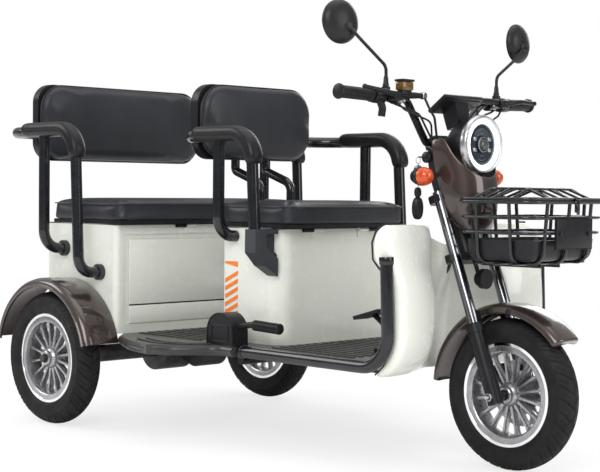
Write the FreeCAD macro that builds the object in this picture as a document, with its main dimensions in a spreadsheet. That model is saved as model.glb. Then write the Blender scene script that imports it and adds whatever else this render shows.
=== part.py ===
import FreeCAD, Part
import Sketcher
import math
import os
import re
from types import SimpleNamespace
from FreeCAD import Placement, Rotation, Vector

# Three-wheeled electric passenger moped with two bench seats.
# Millimetres, +X forward, +Y to the left, +Z up, ground at Z 0.
# Inside this file X is counted from the rear axle; the placement of every piece then moves it
# by the datum, so that the finished vehicle has its origin on the ground at its middle.

document = FreeCAD.newDocument("PassengerMoped")
sheet = document.addObject("Spreadsheet::Sheet", "sizes")

# Driving dimensions: name, value, what it is
SIZES = (
    ("wheelbase", 1475, "rear axle to front axle"),
    ("rear_track", 940, "between the rear wheels' middle planes"),
    ("front_tyre_radius", 208, ""),
    ("rear_tyre_radius", 212, ""),
    ("front_tyre_width", 80, ""),
    ("rear_tyre_width", 88, ""),
    ("rim_seat_radius", 127, "where the bead sits"),
    ("rim_flange_radius", 142, ""),
    ("rim_flange_thick", 5, ""),
    ("rim_width", 62, "outside the flanges"),
    ("rim_wall", 7, "rim well thickness"),
    ("hub_radius", 33, ""),
    ("hub_width", 74, ""),
    ("spoke_width", 9, ""),
    ("spoke_depth", 22, ""),
    ("spoke_count", 16, ""),
    ("bearing_gap", 0.05, "radial running clearance on every shaft"),
    ("fit_gap", 0.3, "between pieces that rest on each other"),
    ("front_axle_radius", 8, ""),
    ("rear_axle_radius", 12, ""),
    ("disc_radius", 92, "front brake disc"),
    ("disc_thick", 4, ""),
    ("rake", 20.5, "steering axis, degrees from upright"),
    ("fork_offset", 20, "legs ahead of the steering axis"),
    ("fork_length", 383, "front axle to the crown's underside along the axis"),
    ("leg_spread", 80, "fork leg from the middle plane"),
    ("leg_radius", 22, "lower slider"),
    ("stanchion_radius", 15.5, ""),
    ("slider_length", 205, "above the axle"),
    ("clamp_thick", 22, ""),
    ("clamp_width", 44, ""),
    ("head_length", 150, "head tube along the axis"),
    ("head_radius", 27, ""),
    ("steerer_radius", 15, ""),
    ("riser_length", 150, "steerer above the upper clamp"),
    ("fender_radius", 251, "front fender outside"),
    ("fender_half_width", 54, ""),
    ("fender_start", 40, "front fender's nose, degrees above forward"),
    ("fender_end", 176, "front fender's tail"),
    ("fender_wall", 4, ""),
    ("rear_fender_radius", 257, ""),
    ("rear_fender_outer", 530, "outer edge from the middle plane"),
    ("rear_fender_start", 14, ""),
    ("rear_fender_end", 168, ""),
    ("rear_fender_lip", 16, ""),
    ("box_wall", 8, "walls of both seat boxes"),
    ("box_top", 645, ""),
    ("front_box_rear", 560, ""),
    ("front_box_front", 815, ""),
    ("front_box_half_width", 250, ""),
    ("front_box_corner", 55, ""),
    ("rear_box_rear", -145, ""),
    ("rear_box_front", 228, ""),
    ("rear_box_half_width", 400, ""),
    ("rear_box_corner", 18, ""),
    ("floor_rise", 50, "rear box's floor above its lower edge"),
    ("recess_border", 32, "frame around the rear box's front recess"),
    ("recess_depth", 4, ""),
    ("pan_thick", 12, "seat base"),
    ("pan_inset", 10, "seat base inside the cushion's edge"),
    ("cushion_thick", 65, ""),
    ("front_cushion_rear", 556, ""),
    ("front_cushion_front", 860, ""),
    ("front_cushion_half_width", 258, ""),
    ("rear_cushion_rear", -115, ""),
    ("rear_cushion_front", 262, ""),
    ("rear_cushion_half_width", 410, ""),
    ("cushion_round", 18, ""),
    ("hinge_radius", 6, ""),
    ("hinge_ahead", 6.5, "hinge pin ahead of the box's front face"),
    ("hinge_length", 40, ""),
    ("hinge_spread", 140, "hinge from the middle plane"),
    ("deck_top", 300, ""),
    ("deck_thick", 30, ""),
    ("deck_rear", 196, ""),
    ("deck_front", 1172, ""),
    ("step_half_width", 510, "widest point beside the rear passengers' feet"),
    ("deck_mid_half_width", 366, "under the hand brake"),
    ("rib_height", 3, ""),
    ("rib_width", 10, ""),
    ("rib_pitch", 34, ""),
    ("rail_radius", 17.5, "foot rail and hoop tubes"),
    ("rail_y", 335, "foot rail from the middle plane"),
    ("rail_height", 285, ""),
    ("rail_start", 746, ""),
    ("rail_front", 1326, ""),
    ("rail_top", 580, ""),
    ("rail_bend", 62, ""),
    ("chassis_tube", 17, "radius of the frame rails"),
    ("chassis_y", 150, ""),
    ("chassis_height", 252.7, ""),
    ("chassis_kick", 328, "frame rails above the rear axle"),
    ("axle_tube_radius", 28, ""),
    ("axle_tube_reach", 360, ""),
    ("drum_radius", 72, ""),
    ("drum_plate", 16, ""),
    ("gearcase_radius", 72, ""),
    ("gearcase_width", 120, ""),
    ("motor_radius", 62, ""),
    ("motor_length", 100, ""),
    ("motor_ahead", 118, "motor in front of the axle"),
    ("spring_radius", 26, ""),
    ("spring_y", 290, ""),
    ("front_hoop_y", 320, ""),
    ("front_hoop_height", 917, ""),
    ("front_hoop_rear_post", 622, ""),
    ("front_hoop_front_post", 764, "front post where it leaves the arm"),
    ("front_post_lean", 22, "front post's foot ahead of its top"),
    ("rear_hoop_y", 485, ""),
    ("rear_hoop_height", 938, ""),
    ("rear_hoop_rear_post", -39, ""),
    ("rear_hoop_front_post", 128, ""),
    ("hoop_bend", 85, "where an arm turns down into its post"),
    ("hoop_corner", 118, "where an arm turns in behind a backrest"),
    ("pad_width", 58, "arm pad"),
    ("pad_height", 50, ""),
    ("back_pad_thick", 44, ""),
    ("back_shell_thick", 44, ""),
    ("back_round", 62, "corner radius seen from the front"),
    ("front_back_x", 467, "front face"),
    ("front_back_half_width", 234, ""),
    ("front_back_low", 852, ""),
    ("front_back_high", 1088, ""),
    ("rear_back_x", -229, ""),
    ("rear_back_half_width", 350, ""),
    ("rear_back_low", 850, ""),
    ("rear_back_high", 1110, ""),
    ("support_radius", 14, "front backrest's tubes"),
    ("support_y", 67, ""),
    ("support_x", 532, ""),
    ("shield_half_width", 318, ""),
    ("shield_top", 668, ""),
    ("shield_low", 262, ""),
    ("shield_wall", 22, ""),
    ("shield_centre_x", 1192, "front face at the middle plane"),
    ("shield_edge_x", 1296, "front face at the outer edge"),
    ("headlight_x", 1356, ""),
    ("headlight_height", 889, ""),
    ("headlight_radius", 82, ""),
    ("bezel_depth", 26, ""),
    ("bowl_depth", 92, ""),
    ("basket_rear", 1405, ""),
    ("basket_front", 1655, ""),
    ("basket_half_width", 165, ""),
    ("basket_corner", 60, ""),
    ("basket_rim", 733, ""),
    ("basket_floor", 574, ""),
    ("basket_wire", 4, ""),
    ("basket_thin_wire", 3, ""),
    ("lid_crest", 769, ""),
    ("bar_radius", 11, ""),
    ("bar_height", 1015, ""),
    ("bar_end_y", 415, ""),
    ("grip_radius", 16.5, ""),
    ("grip_length", 118, ""),
    ("mirror_radius", 61, ""),
    ("mirror_y", 388, ""),
    ("mirror_height", 1208, ""),
    ("battery_length", 190, ""),
    ("battery_width", 380, ""),
    ("battery_height", 230, ""),
)

for row, (name, value, note) in enumerate(SIZES, start=1):
    sheet.set("A%d" % row, name)
    sheet.set("B%d" % row, str(value))
    sheet.setAlias("B%d" % row, name)
    sheet.set("C%d" % row, note)
document.recompute()

NAMES = [name for name, value, note in SIZES]
v = SimpleNamespace(**{name: float(sheet.get(name)) for name in NAMES})

# The vehicle reaches from the front tyre's tread to the rear backrest's shell
DATUM = "(wheelbase + front_tyre_radius + rear_back_x - back_pad_thick - back_shell_thick) / 2"

nodes = []


def expression(text):
    """The text with every size name pointing at the sheet."""
    return re.sub(r"\b[a-z]\w*\b", lambda m: "sizes." + m.group() if m.group() in NAMES else m.group(), text)


def bind(item, prop, text):
    item.setExpression(prop, expression(text))


def seat(item, x="0", y="0", z="0"):
    """Puts an object's origin at a point of the vehicle."""
    bind(item, ".Placement.Base.x", "(%s) - (%s)" % (x, DATUM))
    bind(item, ".Placement.Base.y", y)
    bind(item, ".Placement.Base.z", z)
    return item


def place(item, label, x="0", y="0", z="0"):
    """Names a finished piece and seats it."""
    item.Label = label
    nodes.append(item)
    return seat(item, x, y, z)


def cut_piece(label, base, tool_shape):
    """A finished piece that leaves room for a shape given in vehicle coordinates."""
    tool = document.addObject("Part::Feature", label + "_room")
    tool.Shape = tool_shape
    seat(tool)
    item = document.addObject("Part::Cut", label)
    item.Base = base
    item.Tool = tool
    item.Label = label
    nodes.append(item)
    return item


def feature(label, shape):
    """A piece whose shape is worked out in vehicle coordinates."""
    item = document.addObject("Part::Feature", label)
    item.Shape = shape
    return place(item, label)


def new_body(label):
    return document.addObject("PartDesign::Body", label)


def origin_part(body, role):
    return next(f for f in body.Origin.OriginFeatures if f.Role == role)


def outline(body, role, corners, offset="0"):
    """A closed sketch whose corners are held by two bound distances each."""
    sketch = body.newObject("Sketcher::SketchObject", "outline")
    sketch.AttachmentSupport = [(origin_part(body, role), "")]
    sketch.MapMode = "FlatFace"
    bind(sketch, ".AttachmentOffset.Base.z", offset)
    count = len(corners)
    start = [Vector(100 * math.cos(2 * math.pi * i / count), 100 * math.sin(2 * math.pi * i / count), 0)
             for i in range(count)]
    for i in range(count):
        sketch.addGeometry(Part.LineSegment(start[i], start[(i + 1) % count]), False)
    for i in range(count):
        sketch.addConstraint(Sketcher.Constraint("Coincident", i, 2, (i + 1) % count, 1))
    for i, (across, up) in enumerate(corners):
        for kind, text in (("DistanceX", across), ("DistanceY", up)):
            index = sketch.addConstraint(Sketcher.Constraint(kind, -1, 1, i, 1, 1.0))
            bind(sketch, "Constraints[%d]" % index, text)
    return sketch


def circle(body, role, radius, across="0", up="0", offset="0"):
    """A bound circle on an origin plane."""
    sketch = body.newObject("Sketcher::SketchObject", "circle")
    sketch.AttachmentSupport = [(origin_part(body, role), "")]
    sketch.MapMode = "FlatFace"
    bind(sketch, ".AttachmentOffset.Base.z", offset)
    sketch.addGeometry(Part.Circle(Vector(0, 0, 0), Vector(0, 0, 1), 10), False)
    rows = (("Radius", radius), ("DistanceX", across), ("DistanceY", up))
    for kind, text in rows:
        if kind == "Radius":
            index = sketch.addConstraint(Sketcher.Constraint("Radius", 0, 10.0))
        else:
            index = sketch.addConstraint(Sketcher.Constraint(kind, -1, 1, 0, 3, 1.0))
        bind(sketch, "Constraints[%d]" % index, text)
    return sketch


def pad(body, sketch, length, both=False, backward=False):
    item = body.newObject("PartDesign::Pad", "pad")
    item.Profile = sketch
    item.Midplane = both
    item.Reversed = backward
    bind(item, "Length", length)
    return item


def pocket(body, sketch, length, both=False, backward=False):
    item = body.newObject("PartDesign::Pocket", "pocket")
    item.Profile = sketch
    item.Midplane = both
    item.Reversed = backward
    bind(item, "Length", length)
    return item


def turn(body, sketch, axis="H_Axis", angle="360", both=False):
    item = body.newObject("PartDesign::Revolution", "turned")
    item.Profile = sketch
    item.ReferenceAxis = (sketch, [axis])
    item.Midplane = both
    bind(item, "Angle", angle)
    return item


def round_edges(body, choose, radius):
    """Fillets the edges of the last feature that choose() picks by their middle and direction."""
    document.recompute()
    base = body.Tip
    picked = []
    for index, edge in enumerate(base.Shape.Edges, start=1):
        middle = edge.CenterOfMass
        direction = edge.tangentAt(edge.FirstParameter)
        if choose(middle, direction):
            picked.append("Edge%d" % index)
    item = body.newObject("PartDesign::Fillet", "rounded")
    item.Base = (base, picked)
    bind(item, "Radius", radius)
    return item


def upright(middle, direction):
    return abs(direction.z) > 0.99


def bent_path(points, radii):
    """Straight runs joined by tangent arcs, one radius for each inner point."""
    edges = []
    start = points[0]
    for before, corner, after, radius in zip(points, points[1:], points[2:], radii):
        back = (before - corner).normalize()
        on = (after - corner).normalize()
        half = back.getAngle(on) / 2
        reach = radius / math.tan(half)
        bisector = (back + on).normalize()
        middle = corner + bisector * (radius / math.sin(half) - radius)
        arc_start = corner + back * reach
        arc_end = corner + on * reach
        edges.append(Part.LineSegment(start, arc_start).toShape())
        edges.append(Part.Arc(arc_start, middle, arc_end).toShape())
        start = arc_end
    edges.append(Part.LineSegment(start, points[-1]).toShape())
    return Part.Wire(edges)


def tube(points, radii, radius):
    """A round bar swept along straight runs and arcs."""
    section = Part.Wire([Part.Circle(points[0], points[1] - points[0], radius).toShape()])
    return bent_path(points, radii).makePipeShell([section], True, False)


def rod(start, end, radius):
    return Part.makeCylinder(radius, (end - start).Length, start, end - start)


def block(low, high):
    size = high - low
    return Part.makeBox(size.x, size.y, size.z, low)


def fused(shapes):
    shapes = list(shapes)
    return shapes[0].multiFuse(shapes[1:]).removeSplitter()


def mirrored(shape):
    return shape.mirror(Vector(0, 0, 0), Vector(0, 1, 0))


def both_sides(shape):
    return Part.makeCompound([shape, mirrored(shape)])


# Steering geometry
LEAN = Vector(-math.sin(math.radians(v.rake)), 0, math.cos(math.radians(v.rake)))
AHEAD = Vector(math.cos(math.radians(v.rake)), 0, math.sin(math.radians(v.rake)))
FRONT_AXLE = Vector(v.wheelbase, 0, v.front_tyre_radius)
CROWN = FRONT_AXLE - AHEAD * v.fork_offset + LEAN * v.fork_length


def raked(ahead, left, along):
    """A point given from the crown: ahead of the steering axis, to the left, and up along it."""
    return CROWN + AHEAD * ahead + Vector(0, left, 0) + LEAN * along


# Wheels
WHEELS = (
    # prefix, centre x, centre y, centre height, tyre radius, tyre width, axle radius
    ("front", "wheelbase", "0", "front_tyre_radius", "front_tyre_radius", "front_tyre_width",
     "front_axle_radius"),
    ("rear_right", "0", "-rear_track / 2", "rear_tyre_radius", "rear_tyre_radius", "rear_tyre_width",
     "rear_axle_radius"),
    ("rear_left", "0", "rear_track / 2", "rear_tyre_radius", "rear_tyre_radius", "rear_tyre_width",
     "rear_axle_radius"),
)


def tyre(prefix, x, y, z, radius, width):
    """A ring with rounded shoulders whose beads sit between the rim's flanges."""
    body = new_body(prefix + "_tyre")
    bead = "rim_width / 2 - rim_flange_thick"
    half = "%s / 2" % width
    right = (
        (bead, "rim_seat_radius"),
        (bead, "rim_flange_radius + 1"),
        ("%s * 0.94" % half, "rim_flange_radius + 10"),
        (half, "(rim_flange_radius + %s) / 2" % radius),
        ("%s * 0.93" % half, "%s - 20" % radius),
        ("%s * 0.66" % half, "%s - 6" % radius),
        ("%s * 0.3" % half, radius),
    )
    left = [("-(%s)" % across, up) for across, up in reversed(right)]
    turn(body, outline(body, "YZ_Plane", list(right) + left))
    place(body, prefix + "_tyre", x, y, z)


def wheel(prefix, x, y, z, axle_radius):
    """A cast wheel: channel rim, slim straight spokes and a hub bored for its axle."""
    body = new_body(prefix + "_wheel")
    half = "rim_width / 2"
    inner = "rim_width / 2 - rim_flange_thick"
    rim = (
        (half, "rim_seat_radius - rim_wall"),
        (half, "rim_flange_radius"),
        (inner, "rim_flange_radius"),
        (inner, "rim_seat_radius"),
        ("-(%s)" % inner, "rim_seat_radius"),
        ("-(%s)" % inner, "rim_flange_radius"),
        ("-(%s)" % half, "rim_flange_radius"),
        ("-(%s)" % half, "rim_seat_radius - rim_wall"),
    )
    turn(body, outline(body, "YZ_Plane", rim))
    bar = (
        ("-spoke_width / 2", "hub_radius - 3"),
        ("spoke_width / 2", "hub_radius - 3"),
        ("spoke_width * 0.42", "rim_seat_radius - rim_wall + 2"),
        ("-spoke_width * 0.42", "rim_seat_radius - rim_wall + 2"),
    )
    hub = (
        ("hub_width / 2", "%s + bearing_gap" % axle_radius),
        ("hub_width / 2", "hub_radius * 0.7"),
        ("hub_width / 2 - 16", "hub_radius"),
        ("-hub_width / 2 + 16", "hub_radius"),
        ("-hub_width / 2", "hub_radius * 0.7"),
        ("-hub_width / 2", "%s + bearing_gap" % axle_radius),
    )
    spoke = pad(body, outline(body, "XZ_Plane", bar), "spoke_depth", both=True)
    pattern = body.newObject("PartDesign::PolarPattern", "spokes")
    pattern.Originals = [spoke]
    pattern.Axis = (origin_part(body, "Y_Axis"), [""])
    pattern.Angle = 360
    bind(pattern, "Occurrences", "spoke_count")
    body.Tip = pattern
    turn(body, outline(body, "YZ_Plane", hub))
    place(body, prefix + "_wheel", x, y, z)


def wheels():
    for prefix, x, y, z, radius, width, axle_radius in WHEELS:
        tyre(prefix, x, y, z, radius, width)
        wheel(prefix, x, y, z, axle_radius)


def front_disc():
    """Brake disc on the left of the front hub, with a ring of vent holes."""
    body = new_body("front_disc")
    ring = (
        ("hub_width / 2 + fit_gap", "hub_radius * 0.6"),
        ("hub_width / 2 + fit_gap + disc_thick", "hub_radius * 0.6"),
        ("hub_width / 2 + fit_gap + disc_thick", "disc_radius"),
        ("hub_width / 2 + fit_gap", "disc_radius"),
    )
    turn(body, outline(body, "YZ_Plane", ring))
    hole = pocket(body, circle(body, "XZ_Plane", "disc_radius * 0.11", "0", "disc_radius * 0.76"),
                  "hub_width * 2", both=True)
    pattern = body.newObject("PartDesign::PolarPattern", "vents")
    pattern.Originals = [hole]
    pattern.Axis = (origin_part(body, "Y_Axis"), [""])
    pattern.Angle = 360
    pattern.Occurrences = 9
    body.Tip = pattern
    place(body, "front_disc", "wheelbase", "0", "front_tyre_radius")


def raked_block(low, high):
    """A block given by two corners in the steering's own directions: ahead, left, along."""
    corners = ((low.x, low.z), (high.x, low.z), (high.x, high.z), (low.x, high.z), (low.x, low.z))
    face = Part.Face(Part.makePolygon([raked(ahead, low.y, along) for ahead, along in corners]))
    return face.extrude(Vector(0, high.y - low.y, 0))


COWL_HALF = 104
COWL_WALL = 4


def fork():
    """Clamps with the steerer, bright stanchions, and black sliders joined by the axle."""
    high = v.clamp_thick + v.head_length + 2 * v.fit_gap
    leg_top = high + v.clamp_thick + 8
    leg_low = v.slider_length - v.fork_length
    half = v.clamp_width / 2
    middle = v.fork_offset / 2
    parts = [Part.makeCylinder(v.steerer_radius, high + v.clamp_thick + v.riser_length, raked(0, 0, 0), LEAN)]
    for along in (0, high):
        parts.append(raked_block(Vector(middle - half, -v.leg_spread, along),
                                 Vector(middle + half, v.leg_spread, along + v.clamp_thick)))
        for y in (-v.leg_spread, v.leg_spread):
            parts.append(Part.makeCylinder(half, v.clamp_thick, raked(middle, y, along), LEAN))
    legs = [Part.makeCylinder(v.stanchion_radius, leg_top - leg_low, raked(v.fork_offset, y, leg_low), LEAN)
            for y in (-v.leg_spread, v.leg_spread)]
    for side in (-1, 1):
        inner, outer = sorted((side * (COWL_HALF - COWL_WALL - v.fit_gap), side * v.leg_spread * 0.7))
        parts.append(raked_block(Vector(middle - half + 8, inner, high + 2),
                                 Vector(middle + half - 2, outer, high + v.clamp_thick - 2)))
    feature("fork_yoke", fused(parts).cut(Part.makeCompound(legs)))
    feature("fork_stanchions", Part.makeCompound(legs))

    lowers = []
    for y in (-v.leg_spread, v.leg_spread):
        foot = -v.fork_length - v.leg_radius
        lowers.append(Part.makeCylinder(v.leg_radius, leg_low - foot, raked(v.fork_offset, y, foot), LEAN))
        lowers.append(Part.makeCylinder(v.leg_radius + 3, 18, raked(v.fork_offset, y, leg_low - 26), LEAN))
        inner, outer = sorted((math.copysign(v.fender_half_width + v.fit_gap, y), y * 0.8))
        lowers.append(raked_block(Vector(v.fork_offset - 10, inner, leg_low - 22),
                                  Vector(v.fork_offset + 10, outer, leg_low + 34)))
    across = Vector(0, 1, 0)
    axle_end = v.leg_spread + v.leg_radius + 6
    lowers.append(Part.makeCylinder(v.front_axle_radius, 2 * axle_end, FRONT_AXLE - across * axle_end, across))
    right_stop = v.hub_width / 2 + v.fit_gap
    left_stop = right_stop + v.disc_thick + v.fit_gap
    lowers.append(Part.makeCylinder(v.front_axle_radius + 4, v.leg_spread - right_stop,
                                    FRONT_AXLE - across * v.leg_spread, across))
    lowers.append(Part.makeCylinder(v.front_axle_radius + 4, v.leg_spread - left_stop,
                                    FRONT_AXLE + across * left_stop, across))
    feature("fork_lowers", fused(lowers + [caliper()]))


def caliper():
    """Brake block behind the left slider, straddling the disc, on a lug of the slider."""
    disc_y = v.hub_width / 2 + v.fit_gap + v.disc_thick / 2
    slot = v.disc_thick / 2 + 1.5
    along = -v.fork_length + v.disc_radius * 0.72
    ahead = v.fork_offset - v.leg_radius - 28
    body = raked_block(Vector(ahead - 16, disc_y - 17, along - 26), Vector(ahead + 18, disc_y + 17, along + 27))
    gap = raked_block(Vector(ahead - 60, disc_y - slot, along - 60),
                      Vector(ahead + 80, disc_y + slot, along + 22))
    lug = raked_block(Vector(ahead, disc_y + slot + 2, along - 12), Vector(v.fork_offset, v.leg_spread, along + 12))
    return body.cut(gap).fuse(lug)


def front_fender():
    """A channel section turned about the front axle, with a stay down each leg."""
    body = new_body("front_fender")
    section = (
        ("fender_half_width", "fender_radius - 26"),
        ("fender_half_width", "fender_radius - 9"),
        ("fender_half_width * 0.72", "fender_radius"),
        ("-fender_half_width * 0.72", "fender_radius"),
        ("-fender_half_width", "fender_radius - 9"),
        ("-fender_half_width", "fender_radius - 26"),
        ("-fender_half_width + fender_wall", "fender_radius - 26"),
        ("-fender_half_width + fender_wall", "fender_radius - 9 - fender_wall / 2"),
        ("-fender_half_width * 0.72", "fender_radius - fender_wall"),
        ("fender_half_width * 0.72", "fender_radius - fender_wall"),
        ("fender_half_width - fender_wall", "fender_radius - 9 - fender_wall / 2"),
        ("fender_half_width - fender_wall", "fender_radius - 26"),
    )
    turn(body, outline(body, "YZ_Plane", section), angle="fender_end - fender_start", both=True)
    place(body, "front_fender", "wheelbase", "0", "front_tyre_radius")
    body.Placement.Rotation = Rotation(Vector(0, 1, 0), 90 - (v.fender_start + v.fender_end) / 2)
    bind(body, ".Placement.Rotation.Angle", "90 - (fender_start + fender_end) / 2")


def rear_fenders():
    """Arched covers over both rear wheels, open towards the box, with a turned-down outer lip."""
    shapes = []
    inner = v.rear_box_half_width + v.fit_gap
    radius = v.rear_fender_radius
    wall = v.fender_wall
    section = Part.makePolygon([
        Vector(0, inner, radius - wall),
        Vector(0, inner, radius),
        Vector(0, v.rear_fender_outer - 12, radius),
        Vector(0, v.rear_fender_outer, radius - 8),
        Vector(0, v.rear_fender_outer, radius - v.rear_fender_lip - 8),
        Vector(0, v.rear_fender_outer - wall, radius - v.rear_fender_lip - 8),
        Vector(0, v.rear_fender_outer - wall, radius - 8 - wall / 2),
        Vector(0, v.rear_fender_outer - 12 - wall / 2, radius - wall),
        Vector(0, inner, radius - wall),
    ])
    face = Part.Face(Part.Wire(section))
    face.rotate(Vector(0, 0, 0), Vector(0, 1, 0), 90 - v.rear_fender_start)
    cover = face.revolve(Vector(0, 0, 0), Vector(0, 1, 0), v.rear_fender_start - v.rear_fender_end)
    cover.translate(Vector(0, 0, v.rear_tyre_radius))
    feature("rear_fenders", both_sides(cover))


def open_box(label, rear, front, half_width, low, corner_front, corner_rear):
    """A seat box open at the top: four walls and a floor of one thickness."""
    body = new_body(label)
    base = (("0", "-(%s)" % half_width), ("%s - (%s)" % (front, rear), "-(%s)" % half_width),
            ("%s - (%s)" % (front, rear), half_width), ("0", half_width))
    pad(body, outline(body, "XY_Plane", base), "box_top - (%s)" % low)
    middle_x = (getattr(v, front) - getattr(v, rear)) / 2
    round_edges(body, lambda m, d: upright(m, d) and m.x > middle_x, corner_front)
    round_edges(body, lambda m, d: upright(m, d) and m.x < middle_x, corner_rear)
    document.recompute()
    base = body.Tip
    tops = ["Face%d" % i for i, face in enumerate(base.Shape.Faces, start=1)
            if face.normalAt(0, 0).z > 0.99]
    shell = body.newObject("PartDesign::Thickness", "walls")
    shell.Base = (base, tops)
    shell.Reversed = True
    shell.Join = 0
    bind(shell, "Value", "box_wall")
    return body


def front_box():
    body = open_box("front_box", "front_box_rear", "front_box_front", "front_box_half_width",
                    "deck_top + fit_gap", "front_box_corner", "rear_box_corner")
    place(body, "front_box", "front_box_rear", "0", "deck_top + fit_gap")


def rear_box():
    """The wide box: a floor set above its lower edge, and a framed recess across its front."""
    body = new_body("rear_box")
    deep = "rear_box_front - rear_box_rear"
    tall = "box_top - deck_top - fit_gap"
    outer = (("0", "-rear_box_half_width"), (deep, "-rear_box_half_width"),
             (deep, "rear_box_half_width"), ("0", "rear_box_half_width"))
    pad(body, outline(body, "XY_Plane", outer), tall)
    round_edges(body, upright, "rear_box_corner")
    inner = (("box_wall", "-rear_box_half_width + box_wall"),
             (deep + " - box_wall", "-rear_box_half_width + box_wall"),
             (deep + " - box_wall", "rear_box_half_width - box_wall"),
             ("box_wall", "rear_box_half_width - box_wall"))
    pocket(body, outline(body, "XY_Plane", inner, tall), "%s - floor_rise - box_wall" % tall)
    pocket(body, outline(body, "XY_Plane", inner), "floor_rise", backward=True)
    recess = (("-rear_box_half_width + recess_border", "recess_border"),
              ("rear_box_half_width - recess_border", "recess_border"),
              ("rear_box_half_width - recess_border", "%s - recess_border" % tall),
              ("-rear_box_half_width + recess_border", "%s - recess_border" % tall))
    pocket(body, outline(body, "YZ_Plane", recess, deep), "recess_depth")
    place(body, "rear_box", "rear_box_rear", "0", "deck_top + fit_gap")


def battery():
    item = document.addObject("Part::Box", "battery")
    bind(item, "Length", "battery_length")
    bind(item, "Width", "battery_width")
    bind(item, "Height", "battery_height")
    place(item, "battery", "(front_box_rear + front_box_front - battery_length) / 2", "-battery_width / 2",
          "deck_top + box_wall + 2 * fit_gap")


DECK_EDGE = (
    # x, half width
    ("deck_rear", "rear_box_half_width - 55"),
    ("rear_box_front + 52", "step_half_width - 95"),
    ("rear_box_front + 172", "step_half_width - 30"),
    ("rear_box_front + 292", "step_half_width"),
    ("rear_box_front + 364", "step_half_width - 33"),
    ("rear_box_front + 408", "deck_mid_half_width + 55"),
    ("rear_box_front + 440", "deck_mid_half_width"),
    ("rail_start - 14", "deck_mid_half_width"),
    ("rail_start - 4", "rail_y - rail_radius - fit_gap"),
    ("shield_edge_x - 8", "rail_y - rail_radius - fit_gap"),
)


def deck():
    """One moulded floor with long anti-slip ribs in both footwells."""
    body = new_body("deck_body")
    right = [(x, "-(%s)" % half) for x, half in DECK_EDGE]
    left = list(reversed(DECK_EDGE))
    pad(body, outline(body, "XY_Plane", right + left), "deck_thick")
    document.recompute()
    for label, low, high, half in (
            ("front ribs", "front_box_front + 20", "deck_front - 14", "rail_y - rail_radius - 20"),
            ("rear ribs", "rear_box_front + 20", "front_box_rear - 20", "front_box_half_width + 70")):
        edge = ((low, "-(%s)" % half), (high, "-(%s)" % half),
                (high, "-(%s) + rib_width" % half), (low, "-(%s) + rib_width" % half))
        rib = pad(body, outline(body, "XY_Plane", edge, "deck_thick"), "rib_height")
        rib.Label = label
        copies = body.newObject("PartDesign::LinearPattern", "pattern")
        copies.Originals = [rib]
        copies.Direction = (origin_part(body, "Y_Axis"), [""])
        reach = "(2 * (%s) - rib_width)" % half
        bind(copies, "Length", reach)
        bind(copies, "Occurrences", "floor(%s / rib_pitch) + 1" % reach)
        body.Tip = copies
    seat(body, "0", "0", "deck_top - deck_thick")
    ahead = shield_prism(v.shield_wall + v.fit_gap, 400, 0, v.shield_top)
    column = tube(down_tube_path(), [60, 90], v.chassis_tube * 1.15 + 4)
    cut_piece("deck", body, ahead.fuse(column))


def deck_rails():
    """Foot rails along the deck's edges that rise at the front behind the leg shield's lobes."""
    rail = tube([Vector(v.rail_start, v.rail_y, v.rail_height),
                 Vector(v.rail_front, v.rail_y, v.rail_height),
                 Vector(v.rail_front - 16, v.rail_y, v.rail_top)], [v.rail_bend], v.rail_radius)
    feature("deck_rails", both_sides(rail))


def main_frame():
    """Ladder of two rails with cross tubes, a down tube and the head tube."""
    rail = tube([Vector(-110, v.chassis_y, v.chassis_kick),
                 Vector(40, v.chassis_y, v.chassis_kick),
                 Vector(168, v.chassis_y, v.chassis_height),
                 Vector(v.deck_front - 130, v.chassis_y, v.chassis_height)], [90, 90], v.chassis_tube)
    parts = [rail, mirrored(rail)]
    for x, half, height in FRAME_CROSSERS:
        parts.append(rod(Vector(x, -half, height), Vector(x, half, height), v.chassis_tube * 0.82))
    low = v.clamp_thick + v.fit_gap
    head = Part.makeCylinder(v.head_radius, v.head_length, raked(0, 0, low), LEAN)
    down = tube([raked(0, 0, low + v.head_length * 0.45),
                 raked(-60, 0, low + v.head_length * 0.2),
                 Vector(v.deck_front - 40, 0, v.chassis_height + 90),
                 Vector(v.deck_front - 130, 0, v.chassis_height)], [60, 90], v.chassis_tube * 1.15)
    parts += [head, down]
    frame = fused(parts)
    bore = Part.makeCylinder(v.steerer_radius + v.bearing_gap, v.head_length * 3,
                             raked(0, 0, -v.head_length), LEAN)
    feature("main_frame", frame.cut(bore))


def drive_axle():
    """Axle tube with its gearcase and motor, and a brake backing plate at each end."""
    centre = Vector(0, 0, v.rear_tyre_radius)
    across = Vector(0, 1, 0)

    def along_axle(radius, low, high, ahead=0, up=0):
        return Part.makeCylinder(radius, high - low, centre + Vector(ahead, low, up), across)

    reach = v.axle_tube_reach
    plate = reach + v.drum_plate
    stub = v.rear_track / 2 + v.hub_width / 2 + 12
    parts = [along_axle(v.axle_tube_radius, -reach, reach),
             along_axle(v.rear_axle_radius, -stub, stub),
             along_axle(v.gearcase_radius, -v.gearcase_width / 2, v.gearcase_width / 2),
             along_axle(v.motor_radius, 20, 20 + v.motor_length, v.motor_ahead, 6),
             block(centre + Vector(0, 20, -40), centre + Vector(v.motor_ahead, 60, 44))]
    for side in (-1, 1):
        low, high = sorted((side * reach, side * plate))
        parts.append(along_axle(v.drum_radius, low, high))
    feature("drive_axle", fused(parts))


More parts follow.
